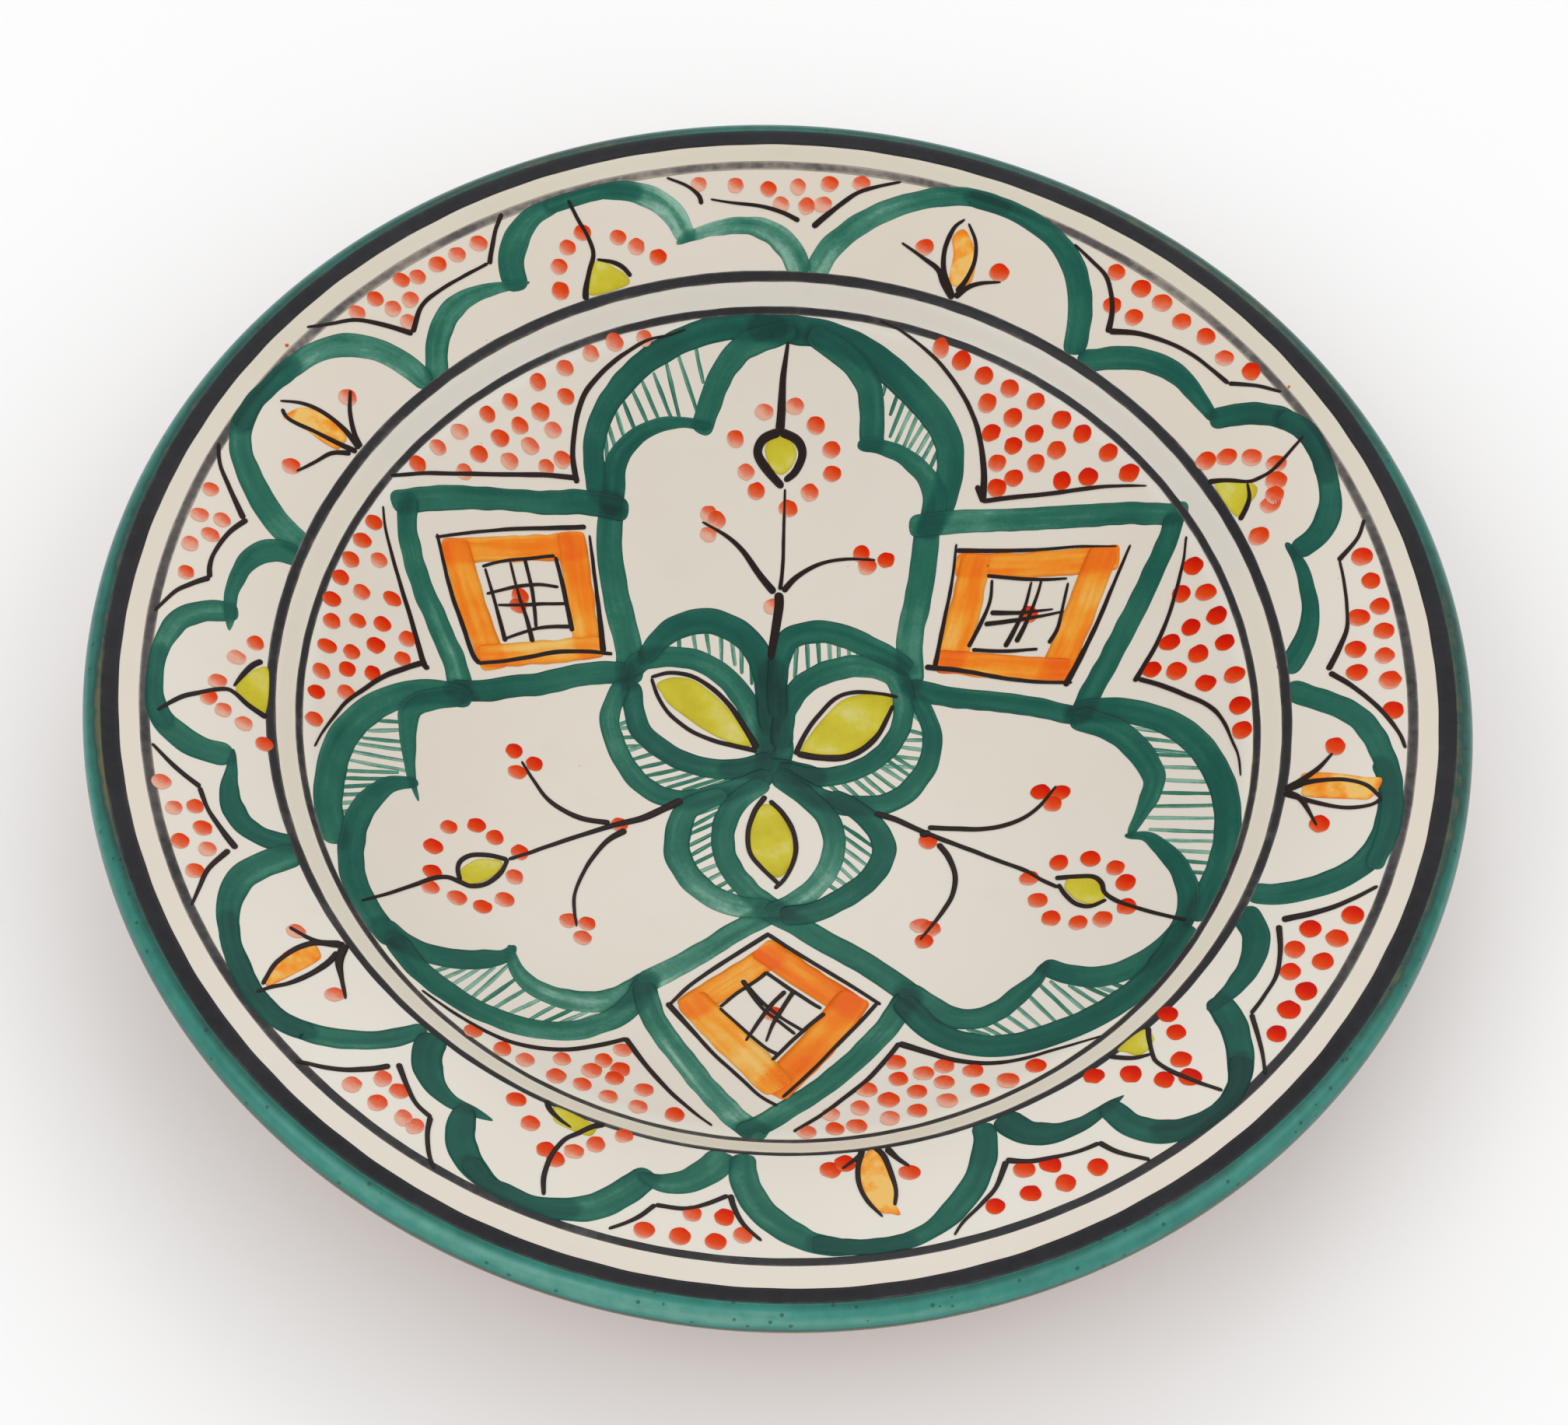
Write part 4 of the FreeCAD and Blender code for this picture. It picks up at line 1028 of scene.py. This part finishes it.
def foot_profile():
    """The foot ring, its lower corners rounded and its sides leaning in."""
    inner, outer = under_well(FOOT_IN), under_well(FOOT_OUT)
    inside = [(65.5 - FOOT_ROUND * math.cos(t), FOOT_ROUND - FOOT_ROUND * math.sin(t))
              for t in np.radians(np.linspace(10, 90, 6))]
    outside = [(70.5 + FOOT_ROUND * math.sin(t), FOOT_ROUND - FOOT_ROUND * math.cos(t))
               for t in np.radians(np.linspace(0, 80, 6))]
    return [(FOOT_IN, inner), (62.9, inner * 0.5), (64.1, 1.6)] + inside + [(68, 0.0)] + outside + \
        [(72.1, 1.7), (73.1, outer * 0.55), (FOOT_OUT, outer), (71, outer - 0.2), (66, inner + 0.4)]


turned("foot", foot_profile(), CLAY_SEGMENTS, CLAY, "foot_ring")

# ---- banded lines ----

BAND_WAVES, BAND_ACROSS = (2, 5, 11, 23, 47, 80), 7
BAND_FADE, BAND_SPARE = 0.42, 0.5  # how far a band's edge fades, and the most mm that it may wander


def banded(name, node, inner, outer, lift, seed, wobble, thin, tones):
    """A line laid on the turning dish, with slightly uneven edges. On the near side it is
    narrower, by thin at its inner and outer edge."""
    across = [*np.linspace(0, 1, BAND_ACROSS), 1.0, 0.0]

    def shape(i, rz, angles):
        a = inner + wobble * uneven(angles, seed, BAND_WAVES)
        b = outer + wobble * uneven(angles, seed + 1, BAND_WAVES) * (outer < EDGE_R)
        close = np.clip(-np.sin(angles), 0, 1) ** 3
        a, b = a + thin[0] * close, b - thin[1] * close
        r = np.clip(a + (b - a) * across[i], inner - BAND_SPARE, min(outer + BAND_SPARE, EDGE_R))
        height = placed(np.column_stack([r, np.zeros(len(r))]), lift if i < BAND_ACROSS else BURIED)
        return height[:, [0, 2]] / MM

    def faded(verts):
        off = abs(np.hypot(verts[:, 0], verts[:, 1]) - (inner + outer) / 2) / ((outer - inner) / 2)
        return side_tone(verts, *tones) - BAND_FADE * np.clip(off, 0, 1) ** 5

    turned(name, [(inner, 0)] * len(across), FACE_SEGMENTS, BLACK, node,
           shape=shape, tint=faded, soft=[i < BAND_ACROSS - 1 for i in range(len(across))])


for row in (
    ("band_lip", "lip_band", 165.6, 170.0, 0.05, 21, 0.3, (0.8, 0), (0.85, 0.8, 0.75, 0.7, 0.85)),
    ("band_rim", "rim_line", 158.1, 160.7, 0.03, 31, 0.2, (0.4, 0.1),
     (0.4, 0.2, 0.16, 0.2, 0.3, 0.45, 0.5, 0.5, 0.4)),
    ("band_ledge", "ledge_line", 128.0, 130.4, 0.13, 41, 0.2, (0, 1.35), (0.56, 0.55, 0.5, 0.5, 0.56)),
    ("band_well", "well_line", 121.7, 123.4, 0.13, 51, 0.2, (0.3, 0.2), (0.5, 0.5, 0.44, 0.44, 0.5)),
):
    banded(*row)

# ---- the painting: tones and depths by eighths round the dish, from the right ----

ROUND = np.arange(0, 361, 45)
RIM_TONE = (0.3, 0.45, -0.5, -0.5, 0.1, 0.5, 0.5, 0.6, 0.3)
WELL_TONE = (0.5, -0.15, 0.3, 0.4, 0.15, 0.05, -0.35, 0.3, 0.5)
RIM_DEPTH = (0.2, -0.4, -1.0, -0.8, -1.0, -1.2, -0.15, 1.05, 0.2)
WELL_DEPTH = (0.85, 0.65, -0.95, -0.95, 0.0, -0.2, -1.2, -0.25, 0.85)
RISE, HATCH_RISE, DAB_RISE = 0.0012, 0.0001, 0.00015  # each stroke or dab is this much above the last
LINE_R, LINE_HALF, LINE_FADE, LINE_DARK = 159.4, 1.1, 0.6, 0.8  # the rim line darkens the green over it
GREEN_MOST, WASH_MOST = 1.7, 1.2  # the most that overlaps darken a stroke
HATCH_TONE, WELL_EDGE = -0.8, 125


def painted(table, prefix, material, slot, node, lift, step, across, wobble, seed, polar=False,
            shade=None, fat=1.0, rise=RISE, **brush):
    """One piece for each motif of a table of strokes. shade(xy, stroke, all) adds to the cover."""
    laid = {}
    for key, group in table.items():
        laid[key] = []
        for widths, points in group:
            seed += 1
            line = flat_points(points) if polar else points
            laid[key].append(Stroke([w * fat for w in widths], line, seed, step, wobble, **brush))
    everything = [s for group in laid.values() for s in group]
    order = 0
    for key, group in laid.items():
        mesh = Mesh()
        for stroke in group:
            order += 1
            stroke.lay(mesh, lift + rise * order, across,
                       lambda xy, own=stroke: shade(xy, own, everything) if shade else np.zeros(len(xy)))
        mesh.finish(f"{prefix}_{key}", material, node)


def green_cover(xy, own, everything):
    r, angle = np.hypot(xy[:, 0], xy[:, 1]), bearing(xy[:, 0], xy[:, 1])
    tone = np.where(r > WELL_EDGE, np.interp(angle, ROUND, RIM_TONE), np.interp(angle, ROUND, WELL_TONE))
    crossed = np.clip(0.5 + (LINE_HALF - abs(r - LINE_R)) / LINE_FADE, 0, 1) * LINE_DARK
    return np.minimum(overlap(xy, own, everything), GREEN_MOST) + crossed + tone


def wash_cover(xy, own, everything):
    return np.minimum(overlap(xy, own, everything), WASH_MOST)


def hatch_cover(xy, own, everything):
    return np.full(len(xy), HATCH_TONE)


# not in tenths: two strokes fill the hub's middle, where its rings run into one dark mass
HUB = {"hub_middle": [((7, 8, 8, 9, 8), [(-2.6, 26), (-2.3, 18), (-1.2, 9), (-0.2, 2), (-1, -2.5)]),
                      ((5, 6, 6, 5), [(-12, -4.4), (-4, -3.2), (3, -3.2), (11, -4.6)])]}
HATCH = {"hatch": [((0.9, 1.2, 1.1, 0.9), [(x0, y0), ((x0 + x1) / 2, (y0 + y1) / 2), (x1, y1)])
                   for x0, y0, x1, y1 in np.array(WELL_HATCH).reshape(-1, 4) / TENTHS]}
SPECKS = {"specks": [((0.9, 1.1), [(148.1, 161.5), (147.8, 161.9)]),
                     ((0.7, 0.9), [(37.2, 161), (37, 161.3)])]}
BROAD = {"shade": green_cover, "fat": 1.07, "square": 2.6, "tones": 0.4}
green, black = (GREEN, "green_paint"), (PEN, "black_paint")

painted({**HUB, **strokes(WELL_BRUSH)}, "well_green", *green, "well_brushwork", GREEN_LIFT,
        0.7, 9, 0.06, seed=98, reach=0.28, **BROAD)
painted(strokes(RIM_BRUSH), "rim_green", *green, "rim_brushwork", GREEN_LIFT,
        0.7, 9, 0.06, seed=300, polar=True, reach=0.2, **BROAD)
painted(HATCH, "well", *green, "well_brushwork", HATCH_LIFT,
        0.9, 3, 0.03, seed=500, shade=hatch_cover, reach=1.8, tones=0.25, rise=HATCH_RISE)
painted(strokes(FIELD_BRUSH), "well_orange", ORANGE, "orange_paint", "window_fields", WASH_LIFT,
        0.8, 7, 0.1, seed=700, shade=wash_cover, fat=1.12, reach=0.42, square=5.0, tones=0.5)
painted(strokes(WELL_PEN), "well_pen", *black, "well_pen", PEN_LIFT, 0.6, 5, 0.02, seed=800)
painted(strokes(RIM_PEN), "rim_pen", *black, "rim_pen", PEN_LIFT, 0.6, 5, 0.02, seed=1000, polar=True)
painted(SPECKS, "rim", RED, "red_paint", "rim_dabs", DAB_LIFT, 0.6, 5, 0.02, seed=1100, polar=True)


def washes(table, prefix, material, node, seed, polar=False, depth=0.0):
    """One piece for each leaf or bud, with a darker edge."""
    rng = np.random.default_rng(seed)
    for key, row in table.items():
        mesh = Mesh()
        turn = rng.uniform(0, TURN)
        across = [math.cos(turn), math.sin(turn)]
        patch(mesh, flat_points(pairs(row)) if polar else pairs(row), WASH_LIFT,
              lambda xy, t: 0.5 * np.sin(xy @ across * 0.45) + 0.6 * (t > 0.9) + depth, rng.uniform(0, 100))
        mesh.finish(f"{prefix}_{key}", material, node)


washes(WELL_LIME, "well_lime", LIME, "well_leaves", 1200)
washes(RIM_LIME, "rim_lime", LIME, "rim_leaves", 1300, polar=True)
washes(RIM_ORANGE, "rim_orange", ORANGE, "rim_buds", 1400, polar=True, depth=-1.05)


DAB_WIDE, DAB_TALL, DAB_TURN, DAB_POINTS = (2.1, 2.5), (2.0, 2.35), 0.4, 12
DAB_UNEVEN, DAB_SPREAD = 0.06, 0.7  # how uneven a dab's outline is, and how much depths differ


def dabs(table, name, seed, depths, polar=False):
    """Round brush marks, deep at the top and watery at the lower edge, a little larger to the right."""
    rng = np.random.default_rng(seed)
    order = 0
    for key, row in table.items():
        mesh = Mesh()
        for x, y in flat_points(pairs(row)) if polar else pairs(row):
            order += 1
            wide, tall = rng.uniform(*DAB_WIDE), rng.uniform(*DAB_TALL)
            turn = rng.uniform(-DAB_TURN, DAB_TURN)
            grown = 1.04 + 0.1 * x / EDGE_R
            a = np.arange(DAB_POINTS) * math.pi / (DAB_POINTS / 2)
            ring = 1 + rng.uniform(-DAB_UNEVEN, DAB_UNEVEN, DAB_POINTS)
            u, v = wide * grown * ring * np.cos(a), tall * grown * ring * np.sin(a)
            outline = np.column_stack([x + u * math.cos(turn) - v * math.sin(turn),
                                       y + u * math.sin(turn) + v * math.cos(turn)])
            deep = np.interp(bearing(x, y), ROUND, depths) + rng.uniform(-DAB_SPREAD, DAB_SPREAD)
            patch(mesh, outline, DAB_LIFT + DAB_RISE * order,
                  lambda xy, t, deep=deep: deep + 0.5 + xy @ [0.2, 0.42] - 0.9 * np.clip(t * 2 - 1.5, 0, 1)
                  * (xy[:, 1] < 0.6), rng.uniform(0, 100))
        mesh.finish(f"{name}_{key}", RED, name)


dabs(WELL_DABS, "well_dabs", 1500, WELL_DEPTH)
dabs(RIM_DABS, "rim_dabs", 1600, RIM_DEPTH, polar=True)

# ---- the setting, in metres ----

FLOOR_HALF, FLOOR_TOP = 4, -0.0003
SOFT_LIGHT = 0.74
LAMPS = {"key": ((-1.0, -0.9, 1.6), 1.3, 9.0), "fill": ((1.2, -0.5, 1.5), 1.5, 6.0),
         "back": ((0.1, 1.5, 1.6), 1.6, 8.5)}  # place, size and power
CAMERA_AT, CAMERA_TILT, CAMERA_TURN = (0.00127, -0.45186, 0.81925), 30.02, 4.353  # degrees
LENS, SENSOR = 80.36, 36

collection = bpy.context.scene.collection
corners = [(x * FLOOR_HALF, y * FLOOR_HALF, FLOOR_TOP) for x, y in ((-1, -1), (1, -1), (1, 1), (-1, 1))]
floor_mesh = bpy.data.meshes.new("floor")
floor_mesh.from_pydata(corners, [], [(0, 1, 2, 3)])
floor = bpy.data.objects.new("floor", floor_mesh)
collection.objects.link(floor)
pale = Paint("pale_floor", 0.9, 0.1)
greys = pale.ramp(pale.noise(pale.place(), 3), (0.0, (0.90, 0.90, 0.90)), (1.0, (0.93, 0.93, 0.93)))
floor_mesh.materials.append(pale.done(greys))

world = bpy.data.worlds.new("soft_world")
world.use_nodes = True
world.node_tree.nodes["Background"].inputs["Color"].default_value = (1, 1, 1, 1)
world.node_tree.nodes["Background"].inputs["Strength"].default_value = SOFT_LIGHT
bpy.context.scene.world = world
for name, (at, size, power) in LAMPS.items():
    lamp = bpy.data.lights.new(name, "AREA")
    lamp.size = size
    lamp.energy = power
    light = bpy.data.objects.new(name, lamp)
    light.location = at
    light.rotation_euler = (-Vector(at)).to_track_quat("-Z", "Y").to_euler()
    collection.objects.link(light)

lens = bpy.data.cameras.new("camera")
lens.lens = LENS
lens.sensor_width = SENSOR
camera = bpy.data.objects.new("camera", lens)
tilt, turn = (Matrix.Rotation(math.radians(angle), 4, axis)
              for angle, axis in ((CAMERA_TILT, "X"), (CAMERA_TURN, "Z")))
camera.matrix_world = Matrix.Translation(CAMERA_AT) @ tilt @ turn
collection.objects.link(camera)
bpy.context.scene.camera = camera
bpy.context.scene.view_settings.view_transform = "Standard"
